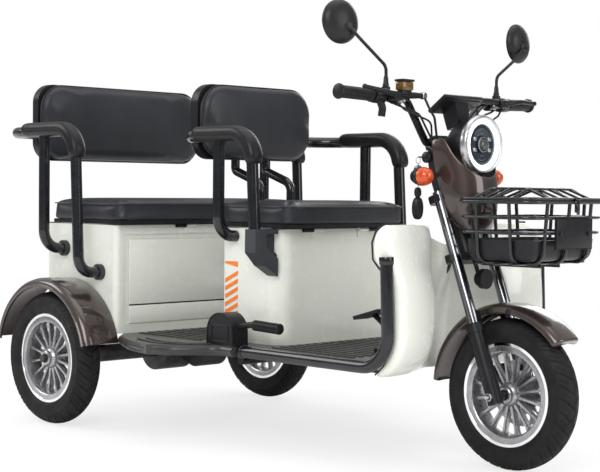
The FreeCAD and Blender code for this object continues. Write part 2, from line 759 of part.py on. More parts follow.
def rear_springs():
    """Coil springs between the axle tube and the frame's rear cross tube."""
    low = v.rear_tyre_radius + v.axle_tube_radius + v.fit_gap
    high = v.chassis_kick - v.chassis_tube * 0.82 - v.fit_gap
    shapes = []
    coils = 5
    pitch = (high - low) / coils
    for side in (-1, 1):
        base = Vector(0, side * v.spring_y, low)
        parts = [Part.makeCylinder(v.spring_radius * 0.55, high - low, base)]
        for i in range(coils):
            middle = base + Vector(0, 0, (i + 0.5) * pitch)
            parts.append(Part.makeCylinder(v.spring_radius, pitch * 0.5, middle - Vector(0, 0, pitch * 0.25)))
        shapes.append(fused(parts))
    feature("rear_springs", Part.makeCompound(shapes))


FRAME_CROSSERS = (
    # x, half length, height
    (-6, v.spring_y + 40, v.chassis_kick),
    (250, v.chassis_y, v.chassis_height),
    (700, v.rail_y - v.rail_radius - 20, v.chassis_height),
    (v.deck_front - 130, v.chassis_y, v.chassis_height),
)


# Hoops: an arm on each side that turns in behind the backrest, with two posts under each arm
HOOPS = (
    # name, arm y, height, bar x behind the backrest, front post x, lean, rear post x,
    # box half width, foot height of the front post, of the rear post
    ("front", v.front_hoop_y, v.front_hoop_height, v.front_back_x - v.back_pad_thick,
     v.front_hoop_front_post, v.front_post_lean, v.front_hoop_rear_post, v.front_box_half_width, 560, 618),
    ("rear", v.rear_hoop_y, v.rear_hoop_height, v.rear_back_x - v.back_pad_thick,
     v.rear_hoop_front_post, v.front_post_lean, v.rear_hoop_rear_post, v.rear_box_half_width, 492, 562),
)


def hoop_arm_path(y, height, bar_x, front_x):
    return [Vector(bar_x, 0, height), Vector(bar_x, y, height), Vector(front_x, y, height)]


def hoop(name, y, height, bar_x, front_x, lean, rear_x, half_width, foot_front, foot_rear):
    """Bent tube of one side: bar, arm and front post in one, and the rear post welded under it."""
    end = [Vector(front_x + lean, y, foot_front),
           Vector(front_x + lean, half_width + v.fit_gap, foot_front)]
    radii = [v.hoop_corner, v.hoop_bend, 50]
    path = hoop_arm_path(y, height, bar_x, front_x) + end
    main = tube(path, radii, v.rail_radius)
    rear = tube([Vector(rear_x, y, height), Vector(rear_x, y, foot_rear),
                 Vector(rear_x, half_width + v.fit_gap, foot_rear)], [58], v.rail_radius)
    return fused([main, rear])


def hoops():
    for row in HOOPS:
        side = hoop(*row)
        feature(row[0] + "_hoop", side.fuse(mirrored(side)).removeSplitter())


def arm_pads():
    """Moulded pads over the arms that follow the tube down into the post."""
    shapes = []
    for name, y, height, bar_x, front_x, lean, rear_x, half_width, foot_front, foot_rear in HOOPS:
        start = rear_x - 106
        down = (Vector(front_x + lean, y, foot_front) - Vector(front_x, y, height)).normalize()
        lift = 7
        path = [Vector(start, y, height + lift), Vector(front_x + lift, y, height + lift),
                Vector(front_x + lift, y, height + lift) + down * 92]
        wire = bent_path(path, [v.hoop_bend])
        wide = v.pad_width / 2
        tall = v.pad_height / 2
        section = Part.Ellipse(Vector(0, 0, 0), wide, tall).toShape()
        section.rotate(Vector(0, 0, 0), Vector(0, 1, 0), 90)
        section.rotate(Vector(0, 0, 0), Vector(1, 0, 0), 90)
        section.translate(path[0])
        shape = wire.makePipeShell([Part.Wire([section])], True, False)
        shape = shape.cut(hoop(name, y, height, bar_x, front_x, lean, rear_x, half_width,
                               foot_front, foot_rear))
        shape = max(shape.Solids, key=lambda s: s.Volume)
        shapes += [shape, mirrored(shape)]
    feature("arm_pads", Part.makeCompound(shapes))


def shield_prism(behind, ahead, low, high):
    """An upright slab bowed like the leg shield, from behind to ahead of its front face."""
    half = v.shield_half_width + 20
    rise = v.shield_edge_x - v.shield_centre_x
    radius = (v.shield_half_width ** 2 + rise ** 2) / (2 * rise)
    centre = Vector(v.shield_centre_x + radius, 0, low)
    ring = Part.makeCylinder(radius + behind, high - low, centre)
    if ahead < radius:
        ring = ring.cut(Part.makeCylinder(radius - ahead, high - low, centre))
    return ring.common(block(Vector(v.shield_centre_x - behind - 1, -half, low),
                             Vector(centre.x, half, high)))


def down_tube_path():
    low = v.clamp_thick + v.fit_gap
    return [raked(0, 0, low + v.head_length * 0.45),
            raked(-60, 0, low + v.head_length * 0.2),
            Vector(v.deck_front - 40, 0, v.chassis_height + 90),
            Vector(v.deck_front - 130, 0, v.chassis_height)]


def leg_shield():
    """A bowed white shield with rounded corners, with an opening for the down tube."""
    slab = shield_prism(v.shield_wall, 0, v.shield_low, v.shield_top)
    half = v.shield_half_width
    face = Part.makeBox(400, 2 * half, v.shield_top - v.shield_low,
                        Vector(v.shield_centre_x - 100, -half, v.shield_low))
    corners = [e for e in face.Edges if abs(e.tangentAt(e.FirstParameter).x) > 0.99]
    shape = slab.common(face.makeFillet(58, corners))
    shape = shape.cut(tube(down_tube_path(), [60, 90], v.chassis_tube * 1.15 + 5))
    feature("leg_shield", shape)


def backrests():
    """Padded fronts on moulded shells; the hoop's bar runs through between them."""
    table = (
        # prefix, hoop row, x of the face, half width, low, high
        ("front", HOOPS[0], "front_back_x", "front_back_half_width", "front_back_low", "front_back_high"),
        ("rear", HOOPS[1], "rear_back_x", "rear_back_half_width", "rear_back_low", "rear_back_high"),
    )
    for prefix, row, x, half, low, high in table:
        name, y, height, bar_x, front_x = row[:5]
        room = tube([Vector(bar_x, 0, height), Vector(bar_x, y, height), Vector(front_x, y, height)],
                    [v.hoop_corner], v.rail_radius + v.fit_gap)
        room = room.fuse(mirrored(room))
        for layer, thick, behind in (("back_pad", "back_pad_thick", "back_pad_thick"),
                                     ("back_shell", "back_shell_thick",
                                      "back_pad_thick + back_shell_thick")):
            body = new_body(prefix + "_" + layer + "_body")
            corners = (("-(%s)" % half, "0"), (half, "0"), (half, "%s - %s" % (high, low)),
                       ("-(%s)" % half, "%s - %s" % (high, low)))
            pad(body, outline(body, "YZ_Plane", corners), thick)
            round_edges(body, lambda m, d: abs(d.x) > 0.99, "back_round")
            outer_x = v.back_pad_thick if layer == "back_pad" else 0
            round_edges(body, lambda m, d: abs(m.x - outer_x) < 0.01 and abs(d.x) < 0.5, "cushion_round")
            seat(body, "%s - (%s)" % (x, behind), "0", low)
            cut_piece(prefix + "_" + layer, body, room)


def back_supports():
    """Two bent tubes that carry the front backrest from the back of its seat box."""
    foot = 560
    side = tube([Vector(v.support_x, v.support_y, foot),
                 Vector(v.support_x, v.support_y, v.front_back_low - 74),
                 Vector(v.front_back_x - v.back_pad_thick - 8, v.support_y, v.front_back_low - 34),
                 Vector(v.front_back_x - v.back_pad_thick - 8, v.support_y, v.front_back_low - v.fit_gap)],
                [36, 15], v.support_radius)
    strap = block(Vector(v.support_x, v.support_y - 12, foot),
                  Vector(v.front_box_rear - v.fit_gap, v.support_y + 12, foot + 50))
    feature("back_supports", both_sides(fused([side, strap])))


def hoop_boots():
    """Moulded covers where the front hoop's posts meet the seat box: a web with an open middle."""
    x = v.front_hoop_front_post + v.front_post_lean
    wall = v.front_box_half_width + v.fit_gap
    outer = v.front_hoop_y + v.rail_radius + 4
    top = v.box_top - 2
    low = 505
    half = v.rail_radius + 5
    face = Part.Face(Part.makePolygon([Vector(x - half, wall, top), Vector(x - half, outer, top),
                                       Vector(x - half, outer, 575), Vector(x - half, outer - 38, 536),
                                       Vector(x - half, wall, low), Vector(x - half, wall, top)]))
    shape = face.extrude(Vector(2 * half, 0, 0))
    hollow = Part.Face(Part.makePolygon([Vector(x - half, wall - 1, top - 14),
                                         Vector(x - half, outer - 46, top - 14),
                                         Vector(x - half, outer - 46, 592),
                                         Vector(x - half, wall - 1, 556), Vector(x - half, wall - 1, top - 14)]))
    shape = shape.cut(hollow.extrude(Vector(half - 5, 0, 0)))
    shape = shape.cut(hollow.extrude(Vector(half - 5, 0, 0)).translated(Vector(half + 5, 0, 0)))
    shape = shape.cut(hoop(*HOOPS[0]))
    shape = max(shape.Solids, key=lambda s: s.Volume)
    return [shape, mirrored(shape)]


def hoop_plugs():
    """Rubber collars where the rear hoop's posts enter the side of the rear box."""
    name, y, height, bar_x, front_x, lean, rear_x, half_width, foot_front, foot_rear = HOOPS[1]
    shapes = []
    for x, z in ((front_x + lean, foot_front), (rear_x, foot_rear)):
        collar = Part.makeCylinder(v.rail_radius + 8, 14, Vector(x, half_width + v.fit_gap, z), Vector(0, 1, 0))
        shapes.append(collar.cut(hoop(*HOOPS[1])))
    return shapes + [mirrored(s) for s in shapes]


def hoop_mounts():
    feature("hoop_mounts", Part.makeCompound(hoop_boots() + hoop_plugs()))


SEATS = (
    # prefix, rear, front, half width, box front, box rear
    ("front", "front_cushion_rear", "front_cushion_front", "front_cushion_half_width",
     "front_box_front", "front_box_rear"),
    ("rear", "rear_cushion_rear", "rear_cushion_front", "rear_cushion_half_width",
     "rear_box_front", "rear_box_rear"),
)
PAN_LOW = v.box_top + v.fit_gap
PIN_HEIGHT = PAN_LOW - v.fit_gap - v.hinge_radius


def seats():
    """Cushions on thin bases that hinge forward about knuckles at the box's front edge."""
    for prefix, rear, front, half, box_front, box_rear in SEATS:
        body = new_body(prefix + "_cushion")
        base = (("0", "-(%s)" % half), ("%s - (%s)" % (front, rear), "-(%s)" % half),
                ("%s - (%s)" % (front, rear), half), ("0", half))
        pad(body, outline(body, "XY_Plane", base), "cushion_thick")
        round_edges(body, upright, "cushion_round * 1.6")
        round_edges(body, lambda m, d: m.z > v.cushion_thick - 0.01, "cushion_round")
        place(body, prefix + "_cushion", rear, "0", "box_top + fit_gap + pan_thick")

        low = Vector(getattr(v, rear) + v.pan_inset, -getattr(v, half) + v.pan_inset, PAN_LOW)
        high = Vector(getattr(v, front) - v.pan_inset, getattr(v, half) - v.pan_inset, PAN_LOW + v.pan_thick)
        parts = [block(low, high)]
        pin_x = getattr(v, box_front) + v.hinge_ahead
        for side in (-1, 1):
            start = side * v.hinge_spread - v.hinge_length / 2
            parts.append(Part.makeCylinder(v.hinge_radius, v.hinge_length, Vector(pin_x, start, PIN_HEIGHT),
                                           Vector(0, 1, 0)))
            parts.append(block(Vector(pin_x - v.hinge_radius * 0.6, start, PIN_HEIGHT),
                               Vector(pin_x + v.hinge_radius * 0.6, start + v.hinge_length, PAN_LOW + 1)))
        feature(prefix + "_seat_pan", fused(parts))


def seat_hinges():
    """The fixed knuckles beside the seats' own, each on a leaf down the box's front face."""
    shapes = []
    for prefix, rear, front, half, box_front, box_rear in SEATS:
        face_x = getattr(v, box_front) + v.fit_gap
        pin_x = getattr(v, box_front) + v.hinge_ahead
        for side in (-1, 1):
            start = side * v.hinge_spread + (v.hinge_length / 2 + 1) * (1 if side < 0 else -1)
            if side > 0:
                start -= v.hinge_length
            knuckle = Part.makeCylinder(v.hinge_radius, v.hinge_length, Vector(pin_x, start, PIN_HEIGHT),
                                        Vector(0, 1, 0))
            leaf = block(Vector(face_x, start, PIN_HEIGHT - 24),
                         Vector(face_x + 3, start + v.hinge_length, PIN_HEIGHT))
            shapes.append(fused([knuckle, leaf]))
    feature("seat_hinges", Part.makeCompound(shapes))


def hand_brake():
    """Half-round housing on the deck's right edge with its lever pointing forward."""
    low = v.deck_top + v.fit_gap
    start, end = v.rail_start - 120, v.rail_start - 6
    half = (end - start) / 2
    y = -v.rail_y
    middle = Vector(start + half, y - 30, low + 96 - half)
    round_top = Part.makeCylinder(half, 60, middle, Vector(0, 1, 0))
    foot = block(Vector(start, y - 30, low), Vector(end, y + 30, middle.z))
    housing = fused([round_top, foot]).common(block(Vector(start, y - 30, low), Vector(end, y + 30, low + 200)))
    lever = tube([Vector(end - 30, y, low + 52), Vector(end + 45, y, low + 66),
                  Vector(end + 160, y, low + 62)], [60], 9)
    grip = rod(Vector(end + 62, y, low + 65.5), Vector(end + 166, y, low + 61.8), 14)
    feature("hand_brake", fused([housing, lever, grip]))


def brake_pedal():
    """Foot brake: a tread plate on a bent arm from a floor bracket."""
    y = -v.chassis_y
    low = v.deck_top + v.rib_height + v.fit_gap
    top = 404
    plate = Part.makeBox(96, 62, 10, Vector(-48, -31, 0))
    plate.Placement = Placement(Vector(1094, y, top), Rotation(Vector(0, 1, 0), -16))
    arm = tube([Vector(1100, y, top + 4), Vector(1138, y, top - 22), Vector(1148, y, low + 8)], [24], 8)
    foot = block(Vector(1120, y - 22, low), Vector(1160, y + 22, low + 12))
    feature("brake_pedal", fused([plate, arm, foot]))


STEERER_TOP = 2 * v.clamp_thick + v.head_length + 2 * v.fit_gap + v.riser_length
BAR_MIDDLE = raked(0, 0, STEERER_TOP + v.bar_radius + v.fit_gap)


def bar_path():
    """The handlebar's left half, from the middle out to its end."""
    return [BAR_MIDDLE, BAR_MIDDLE + Vector(0, 48, 0), Vector(BAR_MIDDLE.x + 26, 165, v.bar_height - 3),
            Vector(BAR_MIDDLE.x + 8, v.bar_end_y, v.bar_height + 6)]


def bar_point(share):
    """A point on the handlebar's straight outer run: 0 at its bend, 1 at its end."""
    bend, end = bar_path()[2:]
    return bend + (end - bend) * share


def handlebar():
    half = tube(bar_path(), [30, 45], v.bar_radius)
    clamp = Part.makeBox(44, 56, 30, Vector(-22, -28, -v.bar_radius - 2))
    clamp.Placement = Placement(BAR_MIDDLE, Rotation(Vector(0, 1, 0), -v.rake))
    steerer_room = Part.makeCylinder(v.steerer_radius + 1, v.riser_length,
                                     raked(0, 0, STEERER_TOP + v.fit_gap - v.riser_length), LEAN)
    feature("handlebar", fused([half, mirrored(half), clamp.cut(steerer_room)]))


def grips():
    end = bar_point(1)
    direction = (end - bar_point(0)).normalize()
    start = end - direction * v.grip_length
    sleeve = rod(start, end + direction * 4, v.grip_radius)
    flange = rod(start, start + direction * 7, v.grip_radius + 5)
    bore = rod(start - direction, end, v.bar_radius)
    feature("grips", both_sides(fused([sleeve, flange]).cut(bore)))


def bar_controls():
    """Switch blocks and lever perches beside the grips, each lever ending in a ball."""
    direction = (bar_point(1) - bar_point(0)).normalize()
    inner = bar_point(1) - direction * (v.grip_length + 2)
    shapes = []
    for side in ("left", "right"):
        switch = rod(inner - direction * 34, inner, 21)
        perch_end = inner - direction * 40
        perch_start = perch_end - direction * 26
        perch = rod(perch_start, perch_end, 17)
        ahead = Vector(40, 0, 2)
        arm = fused([rod(perch_start + direction * 13, perch_start + direction * 13 + ahead * 0.8, 8),
                     tube([perch_start + direction * 4 + ahead * 0.8, perch_end + direction * 30 + ahead,
                           perch_end + direction * 128 + ahead * 0.86], [60], 5),
                     Part.makeSphere(8, perch_end + direction * 130 + ahead * 0.86)])
        parts = [switch, perch, arm, rod(perch_end - direction, inner - direction * 33, 14)]
        mount = perch_start + direction * 13
        parts.append(rod(mount, mount + Vector(0, 0, 30), 7))
        if side == "right":
            tank = Part.makeCylinder(19, 26, mount + Vector(26, 26, 10))
            parts.append(tank)
            parts.append(rod(mount + Vector(20, -4, 0), mount + Vector(30, 44, 4), 10))
        shape = fused(parts).cut(tube(bar_path(), [30, 45], v.bar_radius))
        shape = max(shape.Solids, key=lambda s: s.Volume)
        shapes.append(shape if side == "left" else mirrored(shape))
    feature("bar_controls", Part.makeCompound(shapes))


def mirrors():
    """Round mirrors on bent stems."""
    direction = (bar_point(1) - bar_point(0)).normalize()
    base = bar_point(1) - direction * (v.grip_length + 2 + 40 + 13) + Vector(0, 0, 30 + v.fit_gap)
    head = Vector(BAR_MIDDLE.x - 14, v.mirror_y, v.mirror_height)
    facing = Vector(-1, -0.12, -0.04).normalize()
    stem = tube([base, base + Vector(0, 0, 52), head + Vector(18, -42, -44), head + facing * -9],
                [26, 20], 5)
    shell = Part.makeCone(v.mirror_radius, v.mirror_radius * 0.8, 12, head, facing * -1)
    face = Part.makeCylinder(v.mirror_radius, 6, head, facing)
    nut = rod(base, base + Vector(0, 0, 12), 9)
    feature("mirrors", both_sides(fused([shell, face, stem, nut])))


def headlight():
    """Bowl, bright bezel and glass, all turned about the lamp's axis."""
    pieces = (
        ("headlight_bowl", (
            ("-bowl_depth", "0"), ("0", "0"), ("0", "headlight_radius - 6"),
            ("-bezel_depth * 0.5", "headlight_radius - 6"),
            ("-bowl_depth * 0.62", "headlight_radius * 0.78"), ("-bowl_depth", "headlight_radius * 0.45"))),
        ("headlight_bezel", (
            ("fit_gap", "headlight_radius * 0.72"), ("bezel_depth * 0.5", "headlight_radius * 0.76"),
            ("bezel_depth * 0.62", "headlight_radius * 0.94"), ("bezel_depth * 0.5", "headlight_radius"),
            ("-bezel_depth * 0.38", "headlight_radius"),
            ("-bezel_depth * 0.38", "headlight_radius - 6 + fit_gap"),
            ("fit_gap", "headlight_radius - 6 + fit_gap"))),
        ("headlight_glass", (
            ("fit_gap", "0"), ("bezel_depth * 0.4", "0"), ("bezel_depth * 0.26", "headlight_radius * 0.72"),
            ("fit_gap", "headlight_radius * 0.72"))),
    )
    for label, corners in pieces:
        body = new_body(label)
        turn(body, outline(body, "XZ_Plane", corners))
        place(body, label, "headlight_x", "0", "headlight_height")


def bowl_room(extra):
    """The lamp's bowl and bezel, larger all round."""
    radius = v.headlight_radius
    profile = ((-v.bowl_depth - extra, 0), (-v.bowl_depth - extra, radius * 0.45 + extra),
               (-v.bowl_depth * 0.62, radius * 0.78 + extra), (-v.bezel_depth * 0.5, radius - 6 + extra),
               (-v.bezel_depth * 0.38 - extra, radius - 6 + extra), (-v.bezel_depth * 0.38 - extra, radius + extra),
               (v.bezel_depth * 2, radius + extra), (v.bezel_depth * 2, 0), (-v.bowl_depth - extra, 0))
    face = Part.Face(Part.makePolygon([Vector(x, 0, z) for x, z in profile]))
    solid = face.revolve(Vector(0, 0, 0), Vector(1, 0, 0), 360)
    return solid.translated(Vector(v.headlight_x, 0, v.headlight_height))


COWL = (
    # height, half width, rear x, front x
    (628, COWL_HALF - 30, 1240, 1350),
    (700, COWL_HALF, 1240, 1387),
    (872, COWL_HALF, 1220, 1372),
)


def cowl_section(height, half, rear, front, wall):
    half -= wall
    front -= wall
    rear -= wall * 3
    shoulder = front - half * 0.8
    a, b = Vector(rear, -half, height), Vector(shoulder, -half, height)
    c, d = Vector(shoulder, half, height), Vector(rear, half, height)
    return Part.Wire([Part.LineSegment(a, b).toShape(), Part.Arc(b, Vector(front, 0, height), c).toShape(),
                      Part.LineSegment(c, d).toShape(), Part.LineSegment(d, a).toShape()])


def head_cowl():
    """Bronze apron below the lamp: open at the back, its lower edge slanting forward to a tip."""
    def loft(wall):
        lower = Part.makeLoft([cowl_section(*row, wall) for row in COWL[:2]], True, True)
        upper = Part.makeLoft([cowl_section(*row, wall) for row in COWL[1:]], True, True)
        return lower.fuse(upper)
    shape = loft(0).cut(loft(COWL_WALL))
    under = Part.Face(Part.makePolygon([Vector(1100, -200, 790), Vector(1262, -200, 766),
                                        Vector(1356, -200, 636), Vector(1500, -200, 560),
                                        Vector(1100, -200, 560), Vector(1100, -200, 790)]))
    shape = shape.cut(under.extrude(Vector(0, 400, 0)))
    shape = shape.cut(bowl_room(v.fit_gap))
    shape = max(shape.Solids, key=lambda s: s.Volume)
    feature("head_cowl", shape)


def turn_signals():
    """Amber lamps on short stalks, and their black housings."""
    x, y, z = 1262, 154, 799
    stalk = rod(Vector(x, COWL_HALF + v.fit_gap, z), Vector(x, y, z), 8)
    housing = Part.makeCone(14, 25, 34, Vector(x - 10, y, z), Vector(1, 0, 0))
    feature("signal_housings", both_sides(fused([stalk, housing])))
    lens = Part.makeCone(24, 20, 12, Vector(x + 24 + v.fit_gap, y, z), Vector(1, 0, 0))
    feature("signal_lenses", both_sides(lens))


def dash():
    """Wedge-shaped instrument housing, tilted towards the rider."""
    profile = ((1225, 984), (1293, 1030), (1314, 1010), (1308, 930), (1270, 915), (1236, 962))
    face = Part.Face(Part.makePolygon([Vector(x, -82, z) for x, z in profile + profile[:1]]))
    shape = face.extrude(Vector(0, 164, 0)).cut(bowl_room(v.fit_gap))
    feature("dash", max(shape.Solids, key=lambda s: s.Volume))


def ring_path(height, inset):
    """A rounded rectangle at one height around the basket."""
    low_x, high_x = v.basket_rear + inset, v.basket_front - inset
    half = v.basket_half_width - inset
    r = v.basket_corner - inset
    k = r * (1 - math.sqrt(0.5))
    edges = []
    corners = ((high_x, half, 1, 1), (low_x, half, -1, 1), (low_x, -half, -1, -1), (high_x, -half, 1, -1))
    marks = []
    for x, y, sx, sy in corners:
        first = Vector(x, y - sy * r, height)
        middle = Vector(x - sx * k, y - sy * k, height)
        last = Vector(x - sx * r, y, height)
        marks.append((first, middle, last) if sx == sy else (last, middle, first))
    for i, (first, middle, last) in enumerate(marks):
        edges.append(Part.Arc(first, middle, last).toShape())
        edges.append(Part.LineSegment(last, marks[(i + 1) % 4][0]).toShape())
    return Part.Wire(edges)


def ring(height, inset, radius):
    wire = ring_path(height, inset)
    edge = wire.Edges[1]
    start = edge.valueAt(edge.FirstParameter)
    ordered = Part.Wire(Part.__sortEdges__(wire.Edges[1:] + wire.Edges[:1]))
    section = Part.Wire([Part.Circle(start, edge.tangentAt(edge.FirstParameter), radius).toShape()])
    return ordered.makePipeShell([section], True, False)


def basket():
    """Wire basket: four rings joined by upright wires, with the lid's hinge eyes."""
    wire, thin = v.basket_wire, v.basket_thin_wire
    foot = v.basket_floor - thin - v.fit_gap
    parts = [ring(v.basket_rim, 0, wire), ring(v.basket_rim - 41, 0, thin),
             ring(v.basket_rim - 78, 0, thin), ring(foot, 0, thin)]
    top = v.basket_rim
    middle_x = (v.basket_rear + v.basket_front) / 2
    reach_x = (v.basket_front - v.basket_rear) / 2 - v.basket_corner
    reach_y = v.basket_half_width - v.basket_corner
    spots = []
    for i in range(-1, 2):
        for y in (-v.basket_half_width, v.basket_half_width):
            spots.append((middle_x + i * reach_x * 0.9, y))
    for i in range(-2, 3):
        for x in (v.basket_rear, v.basket_front):
            spots.append((x, i * reach_y / 2 * 0.95))
    for x, y in spots:
        parts.append(rod(Vector(x, y, foot), Vector(x, y, top), thin))
    for side in (-1, 1):
        eye = Part.makeCylinder(9, 12, Vector(v.basket_rear, side * 36 - 6, LID_HEIGHT), Vector(0, 1, 0))
        parts.append(eye)
    shape = fused(parts)
    shape = shape.cut(rod(Vector(v.basket_rear, -100, LID_HEIGHT), Vector(v.basket_rear, 100, LID_HEIGHT),
                          wire + v.bearing_gap))
    feature("basket", shape)


def basket_floor():
    """Cross wires under the tray, on two struts that reach back to the fork's lower clamp."""
    thin = v.basket_thin_wire
    foot = v.basket_floor - thin - v.fit_gap
    middle_x = (v.basket_rear + v.basket_front) / 2
    reach_x = (v.basket_front - v.basket_rear) / 2 - v.basket_corner
    half = v.basket_half_width - thin - v.fit_gap
    clamp = (v.fork_offset + v.clamp_width) / 2 + v.fit_gap
    parts = []
    for i in (-1, 0, 1):
        x = middle_x + i * reach_x * 0.9
        parts.append(rod(Vector(x, -half, foot - 0.5), Vector(x, half, foot - 0.5), thin + 0.5))
    for side in (-1, 1):
        low = foot - thin - v.fit_gap - 5
        parts.append(tube([Vector(middle_x + reach_x, side * 40, low), Vector(v.basket_rear - 10, side * 40, low),
                           raked(clamp + 8, side * 40, v.clamp_thick / 2),
                           raked(clamp, side * 40, v.clamp_thick / 2)], [30, 6], 5))
    feature("basket_floor", fused(parts))


LID_HEIGHT = v.basket_rim + 2 * v.basket_wire + v.fit_gap


def basket_lid():
    """Domed wire lid hinged on its rear bar, with a latch tongue at the front."""
    wire, thin = v.basket_wire, v.basket_thin_wire
    parts = [ring(LID_HEIGHT, 0, wire)]
    half = v.basket_half_width
    rise = v.lid_crest - LID_HEIGHT
    middle_x = (v.basket_rear + v.basket_front) / 2
    reach_x = (v.basket_front - v.basket_rear) / 2 - v.basket_corner
    for i in (-1, -0.33, 0.33, 1):
        x = middle_x + i * reach_x * 0.9
        parts.append(tube([Vector(x, -half, LID_HEIGHT), Vector(x, -half + 46, v.lid_crest),
                           Vector(x, half - 46, v.lid_crest), Vector(x, half, LID_HEIGHT)], [30, 30], thin))
    for y in (-half * 0.4, half * 0.4):
        parts.append(tube([Vector(v.basket_rear, y, LID_HEIGHT), Vector(v.basket_rear + 40, y, v.lid_crest),
                           Vector(v.basket_front - 40, y, v.lid_crest),
                           Vector(v.basket_front, y, LID_HEIGHT)], [30, 30], thin))
    tongue = block(Vector(v.basket_front + wire * 0.5, -14, LID_HEIGHT - 2),
                   Vector(v.basket_front + wire + 6, 14, LID_HEIGHT + 5))
    parts.append(tongue)
    feature("basket_lid", fused(parts))


def basket_pan():
    """Plastic tray lying inside the wires."""
    gap = v.basket_thin_wire + v.fit_gap

    def filled(inset, low, high):
        return Part.Face(ring_path(low, inset)).extrude(Vector(0, 0, high - low))
    high = v.basket_floor + 57
    shape = filled(gap, v.basket_floor, high).cut(filled(gap + 3, v.basket_floor + 3, high + 1))
    feature("basket_pan", shape)


def front_plate():
    """Blank plate on the basket's front, with two bolt holes."""
    x = v.basket_front + v.basket_thin_wire + v.fit_gap
    plate = block(Vector(x, -72, 609), Vector(x + 3, 95, 690))
    holes = [Part.makeCylinder(3, 10, Vector(x - 2, y, 650), Vector(1, 0, 0)) for y in (-52, 75)]
    feature("front_plate", plate.cut(Part.makeCompound(holes)))


def horn():
    """Round horn on a strap under the lower clamp."""
    centre = raked(18, 0, -52)
    parts = [Part.makeCylinder(28, 16, centre + Vector(10, 0, 0), Vector(1, 0, 0)),
             Part.makeCylinder(20, 14, centre - Vector(4, 0, 0), Vector(1, 0, 0)),
             rod(centre, raked(18, 0, -v.fit_gap), 6)]
    feature("horn", fused(parts))


for build in (wheels, front_disc, fork, front_fender, rear_fenders, front_box, rear_box, battery,
              deck, deck_rails, main_frame, drive_axle, rear_springs, hoops, arm_pads, leg_shield,
              backrests, back_supports, hoop_mounts, seats, seat_hinges, hand_brake,
              brake_pedal, handlebar, grips, bar_controls, mirrors, headlight, head_cowl,
              turn_signals, dash, basket, basket_floor, basket_lid, basket_pan, front_plate, horn):
    build()

document.recompute()

broken = [item.Label for item in document.Objects if {"Invalid", "Error"} & set(item.State)]
broken += [item.Label for item in nodes if item.Shape.isNull() or not item.Shape.isValid()]
if broken:
    raise RuntimeError("these did not build: " + ", ".join(broken))

os.makedirs("parts", exist_ok=True)
for item in nodes:
    item.Shape.exportStep("parts/%s.step" % item.Label)
print("%d pieces written" % len(nodes))
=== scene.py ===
import bpy
import bmesh
import math
from mathutils import Matrix, Vector


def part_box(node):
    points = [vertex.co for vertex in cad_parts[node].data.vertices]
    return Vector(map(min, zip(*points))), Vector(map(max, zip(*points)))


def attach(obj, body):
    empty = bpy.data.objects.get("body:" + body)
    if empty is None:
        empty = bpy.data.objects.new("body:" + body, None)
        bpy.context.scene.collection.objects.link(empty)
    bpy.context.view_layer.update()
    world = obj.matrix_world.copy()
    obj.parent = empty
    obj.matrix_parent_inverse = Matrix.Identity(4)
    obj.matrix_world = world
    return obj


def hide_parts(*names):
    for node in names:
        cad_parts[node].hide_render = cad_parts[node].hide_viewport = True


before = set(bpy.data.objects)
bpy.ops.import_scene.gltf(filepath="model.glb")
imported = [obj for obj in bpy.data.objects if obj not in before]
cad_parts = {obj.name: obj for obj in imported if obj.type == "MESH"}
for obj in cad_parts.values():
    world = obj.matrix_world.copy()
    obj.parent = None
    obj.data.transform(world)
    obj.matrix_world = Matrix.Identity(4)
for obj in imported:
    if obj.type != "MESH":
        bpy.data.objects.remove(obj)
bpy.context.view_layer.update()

# Lengths below are in millimetres, with x counted from the rear axle
MM = 0.001
WHEELBASE = 1475
FRONT_RADIUS, REAR_RADIUS = 208, 212
REAR_HALF_TRACK = 470
low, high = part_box("front_tyre")
DATUM = WHEELBASE - (low.x + high.x) / 2 / MM


def vec(x, y, z):
    return Vector((x, y, z))


def at(x, y, z):
    """A point of the vehicle in the frame's metres."""
    return vec((x - DATUM) * MM, y * MM, z * MM)


def node_box(name):
    """A CAD node's lowest and highest corners in vehicle millimetres."""
    return [vec(p.x / MM + DATUM, p.y / MM, p.z / MM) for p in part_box(name)]


FRONT_AXLE = vec(WHEELBASE, 0, FRONT_RADIUS)
LAMP_CENTRE = vec(1356, 0, 889)
AHEAD = vec(1, 0, 0)
LEFT = vec(0, 1, 0)
UP = vec(0, 0, 1)
# Wheel assemblies with their middles, tyre radii and tyre widths
WHEELS = (("front", FRONT_AXLE, FRONT_RADIUS, 80),
          ("rear_right", vec(0, -REAR_HALF_TRACK, REAR_RADIUS), REAR_RADIUS, 88),
          ("rear_left", vec(0, REAR_HALF_TRACK, REAR_RADIUS), REAR_RADIUS, 88))


# Materials
def feed(tree, socket, value):
    """Gives an input a constant or another node's output."""
    if isinstance(value, bpy.types.NodeSocket):
        tree.links.new(value, socket)
    else:
        socket.default_value = value


def add_node(tree, kind, out, inputs=(), **values):
    """Adds a node and returns one of its outputs."""
    item = tree.nodes.new(kind)
    for key, value in values.items():
        setattr(item, key, value)
    for key, value in dict(inputs).items():
        feed(tree, item.inputs[key], value)
    return item.outputs[out]


def spread(tree, source, low, high, start, end):
    """Maps the range from start to end onto the range from low to high."""
    return add_node(tree, "ShaderNodeMapRange", "Result",
                    {"Value": source, "From Min": start, "From Max": end, "To Min": low, "To Max": high})


